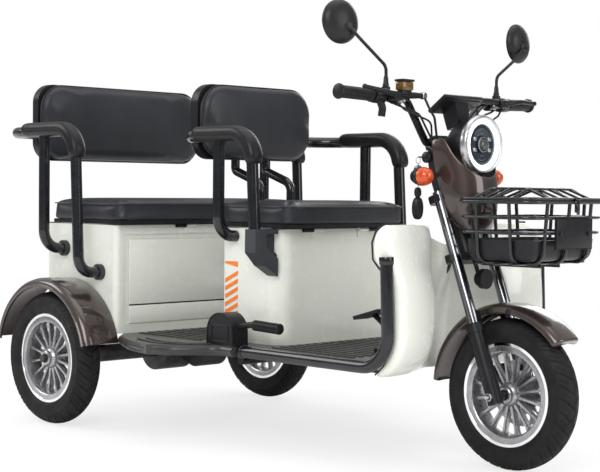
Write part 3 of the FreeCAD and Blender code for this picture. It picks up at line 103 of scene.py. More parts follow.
class Finish:
    """A principled material whose colour, roughness and bump come from textures in object space."""

    def __init__(self, name, colour, inputs, metal, coat, coat_rough, specular):
        self.mat = bpy.data.materials.new(name)
        self.mat.use_nodes = True
        self.tree = self.mat.node_tree
        self.sockets = self.tree.nodes["Principled BSDF"].inputs
        given = {"Base Color": (*colour, 1), "Metallic": metal, "Coat Weight": coat,
                 "Coat Roughness": coat_rough,
                 "Specular IOR Level": specular, **dict(inputs)}
        for key, value in given.items():
            self.sockets[key].default_value = value
        self.coords = self.node("ShaderNodeTexCoord", "Object")
        self.normal = None

    def node(self, *kind, **values):
        return add_node(self.tree, *kind, **values)

    def texture(self, scale, detail, stretch=None):
        """Noise of a detail, or cells where the detail is a feature's name."""
        if isinstance(detail, str):
            return self.node("ShaderNodeTexVoronoi", "Distance", {"Scale": scale, "Vector": self.coords},
                             feature=detail)
        vector = self.coords
        if stretch:
            vector = self.node("ShaderNodeMapping", "Vector", {"Scale": stretch, "Vector": vector})
        return self.node("ShaderNodeTexNoise", "Fac",
                         {"Scale": scale, "Detail": detail, "Roughness": 0.5, "Vector": vector})

    def tint(self, texture, other, start=0.35, end=0.65):
        """Mixes the colour with another where the texture is high."""
        base = self.sockets["Base Color"]
        below = base.links[0].from_socket if base.is_linked else base.default_value
        share = spread(self.tree, self.texture(*texture), 0, 1, start, end)
        feed(self.tree, base, self.node("ShaderNodeMix", "Result",
                                        {"A": below, "B": (*other, 1), "Factor": share},
                                        data_type="RGBA"))

    def rough(self, texture, low, high):
        feed(self.tree, self.sockets["Roughness"], spread(self.tree, self.texture(*texture), low, high, 0.3,
                                                          0.7))

    def bump(self, texture, depth, strength=1.0):
        """Adds a bump whose depth is in millimetres."""
        inputs = {"Strength": strength, "Distance": depth * MM, "Height": self.texture(*texture)}
        if self.normal:
            inputs["Normal"] = self.normal
        self.normal = self.node("ShaderNodeBump", "Normal", inputs)
        feed(self.tree, self.sockets["Normal"], self.normal)


def finish(name, colour, tints, rough, bumps, inputs=(), metal=0.0, coat=0.0, coat_rough=0.06,
           specular=0.22):
    """Builds a material from its tints, its range of roughness and its bumps, each led by a texture."""
    made = Finish(name, colour, inputs, metal, coat, coat_rough, specular)
    for tint in tints:
        made.tint(*tint)
    made.rough(*rough)
    for bump in bumps:
        made.bump(*bump)
    return made.mat


def plain(name, colour, rough, variation, grain, scale, **extra):
    """A finish of one colour, broken up by noise."""
    return finish(name, colour, [((scale, 4), [c * variation for c in colour])], ((scale * 6, 5), *rough),
                  [((grain[0], 3), grain[1])], **extra)


WHITE = finish("ivory_gloss", (0.74, 0.755, 0.69),
               [((3.5, 3), (0.72, 0.737, 0.67)), ((420, 2), (0.69, 0.70, 0.64), 0.70, 0.80)],
               ((28, 5), 0.2, 0.3), [((240, 2), 0.02), ((6, 2), 0.10, 0.25)], coat=0.55, coat_rough=0.05,
               specular=0.4)
TUBE = finish("black_gloss_tube", (0.006, 0.0065, 0.008), [((14, 4), (0.010, 0.011, 0.014))],
              ((60, 5), 0.20, 0.30), [((320, 2), 0.02), ((30, 2), 0.08, 0.3)], coat=0.55, coat_rough=0.05)
VINYL = finish("black_vinyl", (0.019, 0.020, 0.024), [((7, 4), (0.027, 0.028, 0.033))],
               ((90, 5), 0.34, 0.46),
               [((620, "DISTANCE_TO_EDGE"), 0.10, 0.55), ((1400, 3), 0.03, 0.5), ((22, 3), 0.5, 0.25)],
               coat=0.12, coat_rough=0.35)
PAD = finish("moulded_pad", (0.008, 0.008, 0.0095), [((16, 4), (0.013, 0.013, 0.015))],
             ((70, 5), 0.30, 0.42),
             [((900, "F1"), 0.07, 0.6), ((300, 4), 0.05, 0.6)])
BRONZE = finish("bronze_metallic", (0.020, 0.0135, 0.012),
                [((5, 3), (0.026, 0.018, 0.016)), ((2600, "F1"), (0.055, 0.039, 0.034), 0.02, 0.14)],
                ((1800, 2), 0.26, 0.42), [((260, 2), 0.02)], metal=0.6, coat=1.0, coat_rough=0.04)
RUBBER = finish("tyre_rubber", (0.009, 0.009, 0.010), [((20, 5), (0.016, 0.0155, 0.015))],
                ((45, 5), 0.52, 0.72),
                [((900, 4), 0.08, 0.6)], specular=0.18)
SILVER = finish("cast_wheel_silver", (0.40, 0.40, 0.415), [((25, 4), (0.30, 0.30, 0.31))],
                ((120, 5), 0.24, 0.38), [((520, 4), 0.05, 0.5)], metal=0.85, coat=0.4, coat_rough=0.12)
STEEL = finish("turned_steel", (0.52, 0.52, 0.53), [((30, 4), (0.40, 0.40, 0.41))],
               ((160, 4, (1, 1, 8)), 0.22, 0.36), [((900, 2, (1, 0.2, 1)), 0.02)], metal=1.0)
CHROME = finish("chrome", (0.80, 0.80, 0.81), [((12, 3), (0.72, 0.72, 0.735))], ((240, 4), 0.05, 0.13),
                [((130, 2), 0.008)], metal=1.0)
DECK = finish("deck_moulding", (0.030, 0.030, 0.031), [((11, 4), (0.045, 0.044, 0.042))],
              ((50, 5), 0.24, 0.40),
              [((700, "F1"), 0.12, 0.5), ((9, 3, (0.4, 3, 1)), 0.4, 0.3)], coat=0.25, coat_rough=0.22)
AMBER = finish("amber_lens", (0.62, 0.085, 0.006), [((40, 3), (0.45, 0.045, 0.003))],
               ((120, 3), 0.12, 0.22),
               [((260, "F1"), 0.6, 0.5)], {"Emission Color": (0.9, 0.14, 0.01, 1),
                                           "Emission Strength": 0.05},
               coat=0.8, coat_rough=0.03)
GLASS = finish("lamp_glass", (0.86, 0.90, 0.95), [((20, 2), (0.80, 0.85, 0.92))], ((60, 2), 0.02, 0.05), [],
               {"Transmission Weight": 0.95, "IOR": 1.35}, coat=0.5)
RING = finish("lamp_light_ring", (0.92, 0.96, 1.0), [((160, 2), (0.85, 0.92, 1.0))], ((60, 2), 0.25, 0.4),
              [],
              {"Emission Color": (0.86, 0.94, 1.0, 1), "Emission Strength": 0.95})
FRAME = plain("satin_black_frame", (0.008, 0.008, 0.009), (0.30, 0.46), 1.6, (500, 0.05), 18)
PLASTIC = plain("black_plastic", (0.009, 0.009, 0.0105), (0.28, 0.40), 1.35, (950, 0.05), 14)
DARK_LENS = plain("dark_lens", (0.012, 0.018, 0.026), (0.06, 0.12), 1.6, (200, 0.01), 30, coat=1.0)
DARK_CHROME = plain("dark_chrome", (0.24, 0.245, 0.26), (0.10, 0.20), 0.8, (160, 0.01), 12, metal=1.0)
MIRROR = plain("mirror_glass", (0.86, 0.87, 0.88), (0.02, 0.04), 0.97, (60, 0.002), 6, metal=1.0)
MIRROR_BACK = plain("mirror_shell", (0.012, 0.012, 0.013), (0.30, 0.40), 1.5, (900, 0.02), 12)
ORANGE = plain("orange_stripe", (0.83, 0.21, 0.022), (0.28, 0.36), 0.92, (300, 0.02), 20, coat=0.3)
TRIM = plain("black_trim", (0.010, 0.010, 0.010), (0.40, 0.55), 1.5, (600, 0.04), 20)
CASE = plain("battery_case", (0.045, 0.045, 0.055), (0.40, 0.55), 1.3, (500, 0.08), 18)
IRON = plain("axle_iron", (0.055, 0.055, 0.057), (0.45, 0.62), 1.7, (260, 0.25), 30, metal=0.6)
BOOT = plain("grey_moulding", (0.045, 0.047, 0.053), (0.36, 0.48), 0.8, (900, 0.05), 14)
BRASS = plain("reservoir_amber", (0.16, 0.085, 0.02), (0.15, 0.28), 0.6, (300, 0.05), 60, coat=0.6)
SCREEN = plain("display_glass", (0.10, 0.11, 0.13), (0.04, 0.09), 0.85, (80, 0.004), 15, coat=1.0)

# The finish of every CAD node
for surface, names in (
        (FRAME, "main_frame fork_yoke rear_springs"), (IRON, "drive_axle"), (DECK, "deck"),
        (CASE, "battery"),
        (TUBE, "deck_rails front_hoop rear_hoop back_supports handlebar basket basket_floor basket_lid"),
        (WHITE, "rear_box front_box seat_hinges leg_shield"), (BOOT, "hoop_mounts"),
        (PLASTIC, "front_back_shell rear_back_shell front_seat_pan rear_seat_pan fork_lowers bar_controls "
                  "headlight_bowl basket_pan front_plate horn hand_brake brake_pedal grips dash "
                  "signal_housings"),
        (DARK_CHROME, "fork_stanchions"), (STEEL, "front_disc"),
        (BRONZE, "rear_fenders front_fender head_cowl"),
        (MIRROR_BACK, "mirrors"), (PAD, "arm_pads"), (CHROME, "headlight_bezel"),
        (GLASS, "headlight_glass"),
        (VINYL, "front_cushion rear_cushion front_back_pad rear_back_pad"), (AMBER, "signal_lenses"),
        (RUBBER, "front_tyre rear_right_tyre rear_left_tyre"),
        (SILVER, "front_wheel rear_right_wheel rear_left_wheel")):
    for name in names.split():
        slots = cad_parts[name].data.materials
        slots.clear()
        slots.append(surface)


# Mesh building
def ortho(direction):
    """Two unit vectors square to a direction."""
    d = Vector(direction).normalized()
    side = d.cross(UP)
    if side.length < 0.05:
        side = d.cross(LEFT)
    side.normalize()
    return side, d.cross(side)


def opposite(profile):
    """The mirror image of a profile across its middle, in the opposite order."""
    return [(-a, r) for a, r in reversed(profile)]


def blunt(value):
    """A sine or cosine pushed outwards, for rounded squares."""
    return math.copysign(abs(value) ** 0.8, value)


def octagon(u, w):
    """Corners of an octagon within a unit square."""
    return (1, u), (w, 1), (-w, 1), (-1, u), (-1, -u), (-w, -1), (w, -1), (1, -u)


def bent(points, radii, step=7.0):
    """A path with its corners rounded to arcs."""
    points = [Vector(p) for p in points]
    path = [points[0]]
    for i, radius in enumerate(radii, start=1):
        before, here, after = points[i - 1:i + 2]
        a, b = (before - here).normalized(), (after - here).normalized()
        turn = math.pi - a.angle(b)
        if turn < 1e-3 or radius <= 0:
            path.append(here)
            continue
        reach = radius * math.tan(turn / 2)
        centre = here + (a + b).normalized() * (radius / math.cos(turn / 2))
        start, count = here + a * reach, max(2, math.ceil(math.degrees(turn) / step))
        arm = start - centre
        axis = arm.cross(here + b * reach - centre).normalized()
        path += [centre + Matrix.Rotation(turn * k / count, 3, axis) @ arm for k in range(count + 1)]
    path.append(points[-1])
    return path


class Shape:
    """Collects skins in vehicle millimetres; mark is the material index of what is added next."""

    def __init__(self):
        self.verts, self.faces, self.marks = [], [], []
        self.mark = 0

    def add(self, verts, faces):
        base = len(self.verts)
        self.verts += [Vector(p) for p in verts]
        self.faces += [[base + i for i in face] for face in faces]
        self.marks += [self.mark] * len(faces)

    def rings(self, rows, around=True, along=False, caps=False):
        """Skins rows of points; around closes each row, along joins the last row to the first."""
        n, m = len(rows[0]), len(rows)
        faces = []
        for i in range(m if along else m - 1):
            j = (i + 1) % m
            for k in range(n if around else n - 1):
                q = (k + 1) % n
                faces.append((i * n + k, i * n + q, j * n + q, j * n + k))
        if caps:
            faces.append(tuple(range(n))[::-1])
            faces.append(tuple((m - 1) * n + k for k in range(n)))
        self.add([p for row in rows for p in row], faces)

    def turned(self, profile, centre, axis, segments, start=0.0, end=360.0, closed=False, up=None):
        """Turns (along, radius) points about an axis."""
        axis = Vector(axis).normalized()
        side, other = ortho(axis)
        if up is not None:
            side = (Vector(up) - axis * axis.dot(Vector(up))).normalized()
            other = axis.cross(side)
        full = abs(end - start) >= 359.99
        count = segments if full else segments + 1
        rows = []
        for i in range(count):
            angle = math.radians(start + (end - start) * i / segments)
            out = side * math.cos(angle) + other * math.sin(angle)
            rows.append([Vector(centre) + axis * a + out * r for a, r in profile])
        self.rings(rows, around=closed, along=full, caps=closed and not full)

    def tube(self, path, radius, sides, closed=False, flat=1.0):
        """A round tube along a path, its cross-section carried without twist."""
        path = [Vector(p) for p in path]
        count = len(path)
        rows, side = [], None
        for i, p in enumerate(path):
            if closed:
                tangent = path[(i + 1) % count] - path[i - 1]
            else:
                tangent = path[min(i + 1, count - 1)] - path[max(i - 1, 0)]
            tangent.normalize()
            if side is None:
                side = ortho(tangent)[0]
            side = (side - tangent * side.dot(tangent)).normalized()
            other = tangent.cross(side)
            r = radius[i] if isinstance(radius, (list, tuple)) else radius
            rows.append([p + (side * math.cos(a) + other * math.sin(a) * flat) * r
                         for a in (2 * math.pi * k / sides for k in range(sides))])
        self.rings(rows, along=closed, caps=not closed)

    def solid(self, bm):
        bm.verts.index_update()
        self.add([v.co.copy() for v in bm.verts], [[v.index for v in f.verts] for f in bm.faces])
        bm.free()

    def block(self, low, high, bevel):
        """A box with rounded edges."""
        low, high = Vector(low), Vector(high)
        bm = bmesh.new()
        bmesh.ops.create_cube(bm, size=1.0)
        size, middle = high - low, (low + high) / 2
        for v in bm.verts:
            v.co = Vector(v.co[i] * size[i] + middle[i] for i in range(3))
        bmesh.ops.bevel(bm, geom=bm.edges, offset=bevel, segments=2, profile=0.5, affect="EDGES")
        self.solid(bm)

    def prism(self, outline, push, bevel):
        """A closed outline pushed along a vector, its rim edges rounded."""
        bm = bmesh.new()
        moved = bmesh.ops.extrude_face_region(bm, geom=[bm.faces.new([bm.verts.new(p) for p in outline])])
        bmesh.ops.translate(bm, vec=push,
                            verts=[v for v in moved["geom"] if isinstance(v, bmesh.types.BMVert)])
        direction = push.normalized()
        rims = [e for e in bm.edges
                if abs((e.verts[0].co - e.verts[1].co).normalized().dot(direction)) < 0.5]
        if bevel:
            bmesh.ops.bevel(bm, geom=rims, offset=bevel, segments=2, profile=0.5, affect="EDGES")
        self.solid(bm)

    def mirrored(self):
        """Adds the reflection of everything so far across the middle plane."""
        base = len(self.verts)
        self.verts += [vec(p.x, -p.y, p.z) for p in self.verts]
        self.faces += [[base + i for i in reversed(f)] for f in self.faces]
        self.marks += self.marks


def smooth(piece, level):
    modifier = piece.modifiers.new("smooth", "SUBSURF")
    modifier.levels = modifier.render_levels = level


def make(name, shape, finishes, body, stands_for=(), angle=38, level=0, face=None):
    """Turns a shape into a piece that rides on a body; face is the way that an open skin looks."""
    mesh = bpy.data.meshes.new(name)
    mesh.from_pydata([at(*p) for p in shape.verts], [], shape.faces)
    for surface in finishes:
        mesh.materials.append(surface)
    mesh.polygons.foreach_set("material_index", shape.marks)
    bm = bmesh.new()
    bm.from_mesh(mesh)
    bmesh.ops.remove_doubles(bm, verts=bm.verts, dist=2e-5)
    bmesh.ops.dissolve_degenerate(bm, edges=bm.edges, dist=1e-6)
    bmesh.ops.recalc_face_normals(bm, faces=bm.faces)
    if face and sum((f.normal * f.calc_area() for f in bm.faces), Vector()).dot(Vector(face)) < 0:
        bmesh.ops.reverse_faces(bm, faces=bm.faces)
    bm.to_mesh(mesh)
    bm.free()
    mesh.shade_smooth()
    mesh.set_sharp_from_angle(angle=math.radians(angle))
    piece = bpy.data.objects.new(name, mesh)
    bpy.context.scene.collection.objects.link(piece)
    if level:
        smooth(piece, level)
    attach(piece, body)
    if stands_for:
        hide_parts(*stands_for)
    return piece


# Tyres: a carcass with moulded grooves
def groove(gap, half_width, wall, depth):
    """Depth of a groove at a distance from its middle line."""
    return depth * max(0.0, min(1.0, (half_width - gap) / wall))


def tyre(prefix, centre, radius, width):
    half = width / 2
    periods, steps_per_period, crown_steps = 34, 20, 15
    segments = periods * steps_per_period
    pitch = 2 * math.pi * radius / periods
    crown_turn, shoulder_radius, tread_radius = math.radians(72), 186, 184.5
    right = [(26, 128), (27, 134), (28.5, 139), (half * 0.80, 146), (half * 0.90, 150), (half * 0.905, 152),
             (half * 0.93, 153.5), (half * 0.97, 162), (half, 172), (half * 0.995, 180),
             (half * 1.005, 181),
             (half * 1.005, 183), (half * 0.985, 184)]
    for i in range(crown_steps + 1):
        angle = (1 - i / crown_steps) * crown_turn
        across = half * 0.965 * math.sin(angle) / math.sin(crown_turn)
        drop = (radius - shoulder_radius) * (1 - math.cos(angle)) / (1 - math.cos(crown_turn))
        right.append((across, radius - drop))
    profile = right + opposite(right[:-1])
    rows = []
    for i in range(segments):
        turn = 2 * math.pi * i / segments
        run = turn * radius
        weave = half * 0.10 * math.sin(2 * math.pi * run / pitch)
        row = []
        for a, r in profile:
            depth = 0.0
            reach = abs(a) / half
            if r > tread_radius:
                slant = pitch * 0.9 * reach ** 1.3 + (0 if a >= 0 else pitch / 2)
                gap, short_gap = (abs((run - line + pitch / 2) % pitch - pitch / 2)
                                  for line in (slant, slant + pitch * 0.45))
                if 0.12 < reach < 0.97:
                    depth = groove(gap, 2.9, 1.2, 3.2)
                if 0.45 < reach < 0.90:
                    depth = max(depth, groove(short_gap, 2.0, 1.0, 2.2))
                depth = max(depth, groove(abs(a - weave), 2.6, 1.2, 3.0))
            row.append(centre + vec(math.cos(turn), 0, math.sin(turn)) * (r - depth) + vec(0, a, 0))
        rows.append(row)
    shape = Shape()
    shape.rings(rows, around=False, along=True)
    make(prefix + "_tyre_tread", shape, [RUBBER], prefix + "_wheel_set", [prefix + "_tyre"],
         angle=30)


for wheel_row in WHEELS:
    tyre(*wheel_row)


# Padded pieces
def corner_arcs(a, b, corner, arc):
    """Corner points of a rounded rectangle of half sizes a and b, counter-clockwise."""
    for sx, sy in ((1, 1), (-1, 1), (-1, -1), (1, -1)):
        for k in range(arc + 1):
            angle = math.pi / 2 * k / arc
            if sx * sy < 0:
                angle = math.pi / 2 - angle
            yield sx * (a - corner + corner * math.cos(angle)), sy * (b - corner + corner * math.sin(angle))


def rounded_outline(a, b, corner, arc=8, run=14):
    """A rounded rectangle whose straight sides are divided too."""
    points = list(corner_arcs(a, b, corner, arc))
    full = []
    for p, q in zip(points, points[1:] + points[:1]):
        count = max(1, round(math.dist(p, q) / run))
        full += [p] + [(p[0] + (q[0] - p[0]) * k / count, p[1] + (q[1] - p[1]) * k / count)
                       for k in range(1, count)]
    return full


def slab_rows(a, b, corner, profile):
    """Rings from the bottom's middle over the side to the top's middle; profile holds (share, height)."""
    outline = rounded_outline(a, b, corner)
    reach = a - b
    spine = [(max(-reach, min(reach, x)), 0.0) for x, y in outline]
    pairs = list(zip(outline, spine))
    return [[(sx + (x - sx) * share, sy + (y - sy) * share, height) for (x, y), (sx, sy) in pairs]
            for share, height in profile]


def inflate(piece, base, up, push, cap):
    """Blows a cover up with cloth under pressure; what lies below the base is held, cap limits each move."""
    mesh = piece.data
    start = [v.co.copy() for v in mesh.vertices]
    group = piece.vertex_groups.new(name="held")
    group.add([i for i, p in enumerate(start) if (p - base).dot(up) < 0], 1.0, "REPLACE")
    cloth = piece.modifiers.new("cloth", "CLOTH")
    settings = cloth.settings
    settings.quality = 6
    settings.mass = 0.4
    settings.use_pressure = True
    settings.uniform_pressure_force = push
    settings.vertex_group_mass = "held"
    settings.tension_stiffness = settings.compression_stiffness = 24
    settings.shear_stiffness = 12
    settings.bending_stiffness = 6
    settings.effector_weights.gravity = 0
    cloth.collision_settings.use_collision = False
    cloth.collision_settings.use_self_collision = False
    scene = bpy.context.scene
    for number in range(1, 16):
        scene.frame_set(number)
    graph = bpy.context.evaluated_depsgraph_get()
    swollen = [v.co.copy() for v in piece.evaluated_get(graph).data.vertices]
    scene.frame_set(1)
    piece.modifiers.remove(cloth)
    piece.vertex_groups.remove(group)
    for v, old, new in zip(mesh.vertices, start, swollen):
        move = new - old
        if move.length > cap * MM:
            move = move.normalized() * (cap * MM)
        v.co = old + move


def soft_slab(name, to_vehicle, a, b, corner, thick, edge, crown, body, node, push, cap, seam_height):
    """A padded cover with a sewn welt round its side."""
    top = thick - edge

    def share(inset):
        return 1 - inset / min(a, b)
    profile = [(0.0, 0), (0.35, 0), (0.7, 0), (share(26), 0), (share(12), 0), (share(5), 0.6),
               (share(1.5), 3),
               (1.0, 8)]
    profile += [(1.0, 8 + (top - 8) * k / 4) for k in range(1, 5)]
    profile += [(share(edge * (1 - math.cos(turn))), top + edge * math.sin(turn))
                for turn in (math.pi / 2 * k / 6 for k in range(1, 7))]
    inner = share(edge)
    profile += [(s, thick + crown * (1 - (s / inner) ** 2))
                for s in (inner * (1 - k / 8) for k in range(1, 9))]
    shape = Shape()
    shape.rings([[to_vehicle(*p) for p in row] for row in slab_rows(a, b, corner, profile)])
    piece = make(name, shape, [VINYL], body, [node], angle=60)
    base = at(*to_vehicle(0, 0, 9))
    inflate(piece, base, (at(*to_vehicle(0, 0, 10)) - base).normalized(), push, cap)
    smooth(piece, 1)
    outline = rounded_outline(a + 1.4, b + 1.4, corner + 1.4, arc=10, run=30)
    welt = Shape()
    welt.tube([to_vehicle(x, y, seam_height) for x, y in outline], 1.9, 8, closed=True)
    make(name + "_welt", welt, [VINYL], body, ())


for prefix in ("front", "rear"):
    lo, hi = node_box(prefix + "_cushion")
    soft_slab(prefix + "_seat_cover", lambda u, w, h, m=(lo + hi) / 2, z=lo.z: (m.x + w, m.y - u, z + h),
              (hi.y - lo.y) / 2 - 5, (hi.x - lo.x) / 2 - 5, 30, hi.z - lo.z - 4, 15, 4, prefix + "_seat",
              prefix + "_cushion", push=2.2, cap=5.0, seam_height=hi.z - lo.z - 14)

for prefix in ("front", "rear"):
    lo, hi = node_box(prefix + "_back_pad")
    soft_slab(prefix + "_back_cover", lambda u, w, h, m=(lo + hi) / 2, x=lo.x: (x + h, m.y + u, m.z + w),
              (hi.y - lo.y) / 2 - 4, (hi.z - lo.z) / 2 - 4, 80, hi.x - lo.x - 5, 20, 5, "chassis",
              prefix + "_back_pad", push=2.6, cap=6.0, seam_height=(hi.x - lo.x) * 0.42)


# Arm pads
HOOPS = (
    # arm y, height, front post x, lean, rear post x, foot height of the front post
    (320, 917, 764, 22, 622, 560),
    (485, 938, 128, 22, -39, 492),
)


def arm_pad_path(y, height, front_x, lean, rear_x, foot):
    """The pad's middle line in short steps."""
    down = (vec(front_x + lean, y, foot) - vec(front_x, y, height)).normalized()
    corner = vec(front_x + 6, y, height + 6)
    path = bent([(rear_x - 106, y, height + 6), corner, corner + down * 92], [85], 5)
    dense = []
    for p, q in zip(path, path[1:]):
        count = max(1, round((q - p).length / 12))
        dense += [p + (q - p) * k / count for k in range(count)]
    return dense + path[-1:]


def arm_pads():
    half_wide, half_tall, points_round = 28, 24, 28
    shape = Shape()
    for hoop in HOOPS:
        dense = arm_pad_path(*hoop)
        total = sum((q - p).length for p, q in zip(dense, dense[1:]))
        rows, run = [], 0.0
        for i, p in enumerate(dense):
            run += (p - dense[max(i - 1, 0)]).length
            tangent = (dense[min(i + 1, len(dense) - 1)] - dense[max(i - 1, 0)]).normalized()
            up = tangent.cross(LEFT)
            if up.z < 0 and abs(tangent.z) < 0.7:
                up = -up
            end_gap = min(run, total - run)
            swell = 0.80 + 0.20 * min(1.0, end_gap / 26) ** 0.5
            if end_gap < 3:
                swell *= 0.93
            rows.append([p + LEFT * (half_wide * blunt(math.cos(turn))) * swell
                         + up * (half_tall * blunt(math.sin(turn))) * swell
                         for turn in (2 * math.pi * k / points_round for k in range(points_round))])
        shape.rings(rows, caps=True)
        shape.tube([p + LEFT * 28.2 for p in dense[2:-2]], 0.9, 6)
    shape.mirrored()
    piece = make("arm_rest_pads", shape, [PAD], "chassis", ["arm_pads"], angle=50, level=1)


arm_pads()


# Headlight
def lamp():
    centre, axis = LAMP_CENTRE, AHEAD
    shape = Shape()
    shape.turned([(-10, 76), (-10, 81), (-6, 83), (4, 83), (9, 81.5), (12, 79), (13, 76), (12, 73.5),
                  (9, 72.5),
                  (2, 72), (1, 71), (1, 73), (0, 76)], centre, axis, 96, closed=True)
    make("lamp_bezel", shape, [STEEL], "steering", ["headlight_bezel"])
    shape = Shape()
    shape.turned([(1, 71), (7, 71.5), (10, 69), (11, 65), (10, 60), (7, 57.5), (1, 57)], centre, axis, 96,
                 closed=True)
    make("lamp_light_ring", shape, [RING], "steering", ())
    shape = Shape()
    shape.turned([(1, 0), (1, 57), (3, 57), (4, 55), (3, 44), (4, 43), (3, 32), (4, 31), (3, 26), (2, 0)],
                 centre,
                 axis, 64)
    shape.mark = 1
    shape.turned([(2, 24), (7, 24), (8, 22), (8, 18), (6, 17), (6, 0)], centre, axis, 48)
    shape.mark = 3
    shape.turned([(7, 21.8), (9.2, 21), (9.2, 18.5), (7, 18)], centre, axis, 48, closed=True)
    for a in map(math.radians, (30, 150, 210, 330)):
        spot = centre + vec(3, math.cos(a) * 36, math.sin(a) * 30)
        shape.block(spot - vec(1, 7, 5), spot + vec(2.4, 7, 5), 1)
    shape.mark = 2
    shape.turned([(6, 17), (9, 15), (12, 10), (13, 5), (13.2, 0)], centre, axis, 32)
    make("lamp_insert", shape, [DARK_LENS, PLASTIC, GLASS, STEEL], "steering", ["headlight_glass"])


lamp()


# Wheels
def wheel(prefix, centre):
    shape = Shape()
    flange = [(31, 119), (31, 141), (29.5, 143.5), (27.5, 143), (26, 140), (26, 131), (20, 127.5),
              (12, 119)]
    bed = [(14, 112), (24, 114.5), (29, 116)]
    shape.turned(flange + opposite(flange) + opposite(bed) + bed, centre, LEFT, 120, closed=True)
    hub = [(37, 9), (37, 20), (35, 23), (27, 25), (22, 31), (18, 33), (8, 34)]
    shape.turned(hub + opposite(hub), centre, LEFT, 64, closed=True)
    count = 16
    for i in range(count):
        angle = 2 * math.pi * (i + 0.5) / count
        out, side = vec(math.cos(angle), 0, math.sin(angle)), vec(-math.sin(angle), 0, math.cos(angle))
        shape.rings([[centre + out * reach + side * (a * wide) + vec(0, b * deep, 0)
                      for a, b in octagon(0.72, 0.72)]
                     for reach, wide, deep in ((30, 6.5, 13), (40, 5.0, 12), (70, 4.2, 10.5),
                                               (100, 4.4, 9.5),
                                               (108, 5.6, 10), (115, 8.5, 11))], caps=True)
    for mark, segments, ring in (
            (1, 120, ((29.8, 141.2), (30.9, 142.6), (31.6, 142.2), (31.6, 134), (31, 133.4),
                      (29.6, 133.6))),
            (2, 32, ((31, 8.5), (31, 15), (37.6, 15), (37.6, 9)))):
        shape.mark = mark
        for sign in (-1, 1):
            shape.turned([(sign * a, r) for a, r in ring], centre, LEFT, segments, closed=True)
    valve = centre + vec(0, 0, 112)
    shape.tube([valve + vec(0, 6, 4), valve + vec(0, 8, -18)], 3.2, 10)
    make(prefix + "_wheel_casting", shape, [SILVER, CHROME, PLASTIC], prefix + "_wheel_set",
         [prefix + "_wheel"],
         angle=32)


def hex_nut(shape, place, axis, size, height):
    """A hexagon nut with a rounded face and a stub of thread."""
    side, other = ortho(axis)
    shape.rings([[place + axis * along + (side * math.cos(a) + other * math.sin(a)) * size * share
                  for a in (math.pi / 3 * k for k in range(6))]
                 for along, share in ((0, 1), (height * 0.82, 1), (height, 0.86))], caps=True)
    shape.turned([(0, size * 0.5), (height + size * 0.55, size * 0.5), (height + size * 0.7, size * 0.4),
                  (height + size * 0.7, 0)], place, axis, 16)


for wheel_row in WHEELS:
    wheel(*wheel_row[:2])


# Leg shield
SHIELD_ROWS = (
    # height, wrap end x, outer y, crest x, crest y, fold x, fold y, hollow x, hollow y, middle x
    (257, 1250, 300, 1276, 236, 1262, 186, 1236, 120, 1200),
    (264, 1256, 314, 1296, 240, 1280, 182, 1244, 116, 1198),
    (290, 1288, 316, 1332, 240, 1318, 174, 1254, 112, 1196),
    (340, 1316, 316, 1353, 236, 1338, 164, 1258, 104, 1194),
    (440, 1320, 316, 1354, 234, 1340, 158, 1258, 102, 1194),
    (525, 1312, 317, 1346, 236, 1326, 160, 1256, 102, 1194),
    (548, 1284, 329, 1338, 244, 1304, 142, 1250, 101, 1194),
    (575, 1266, 338, 1328, 250, 1292, 124, 1242, 100, 1194),
    (620, 1262, 338, 1316, 252, 1289, 120, 1238, 98, 1194),
    (650, 1268, 330, 1306, 248, 1282, 121, 1236, 98, 1194),
    (664, 1276, 318, 1298, 244, 1276, 123, 1234, 98, 1194),
    (669, 1282, 306, 1292, 240, 1270, 126, 1232, 98, 1194),
)
# How much of the height each column from the wrap to the middle reaches
SHIELD_REACH = (1, 1, 1, 1, 1, 1, 1, 0.985, 0.93, 0.86, 0.84, 0.835)


def spine_x(height):
    """Front of the rounded spine that covers the down tube."""
    tube = 1140 + (height - 343) * 103 / 256
    return tube + 27


def shield_half(row, side):
    height, wrap, out, crest, crest_y, fold, fold_y, hollow, hollow_y, middle = row
    low = SHIELD_ROWS[0][0]
    # The last three columns lie on the spine, set back from its front
    columns = [(wrap, out), ((wrap + crest) / 2, out + 1), (crest - 5, out - 5), (crest, out - 20),
               (crest, crest_y), (fold, fold_y), (fold - 16, fold_y - 12), (hollow, hollow_y), (1206, 66),
               (1197, 40, 20), (1195, 18, 1.6), (middle, 0, 0)]
    points = []
    for (x, y, *setback), reach in zip(columns, SHIELD_REACH):
        z = low + (height - low) * reach
        if setback:
            x = max(x, spine_x(z) - setback[0])
        points.append(vec(x, side * y, z))
    return points


def solidify(piece, thick):
    modifier = piece.modifiers.new("wall", "SOLIDIFY")
    modifier.thickness = thick * MM
    modifier.offset = -1
    modifier.use_even_offset = True
    modifier.use_quality_normals = True


def leg_shield():
    shape = Shape()
    rows = [shield_half(row, -1) + shield_half(row, 1)[-2::-1] for row in SHIELD_ROWS]
    shape.rings([row[::-1] for row in rows], around=False)
    piece = make("leg_shield_shell", shape, [WHITE], "chassis", ["leg_shield"], angle=180,
                 face=AHEAD)
    solidify(piece, 5)
    smooth(piece, 2)
    trim = Shape()
    for side in (-1, 1):
        path = [vec(x - 2, side * (y - 1), z) for z, x, y, *_ in SHIELD_ROWS[6:]]
        trim.tube(path + [vec(1288, side * 296, 670.5), vec(1286, side * 262, 671)], 2.6, 10)
        trim.tube([vec(x - 2, side * (y - 2), z) for z, x, y, *_ in SHIELD_ROWS[1:7]], 2.2, 8)
        trim.block((1236, side * 214 - 34, 575), (1250, side * 214 + 34, 604), 3)
    make("leg_shield_beading", trim, [TRIM], "chassis", ())


leg_shield()


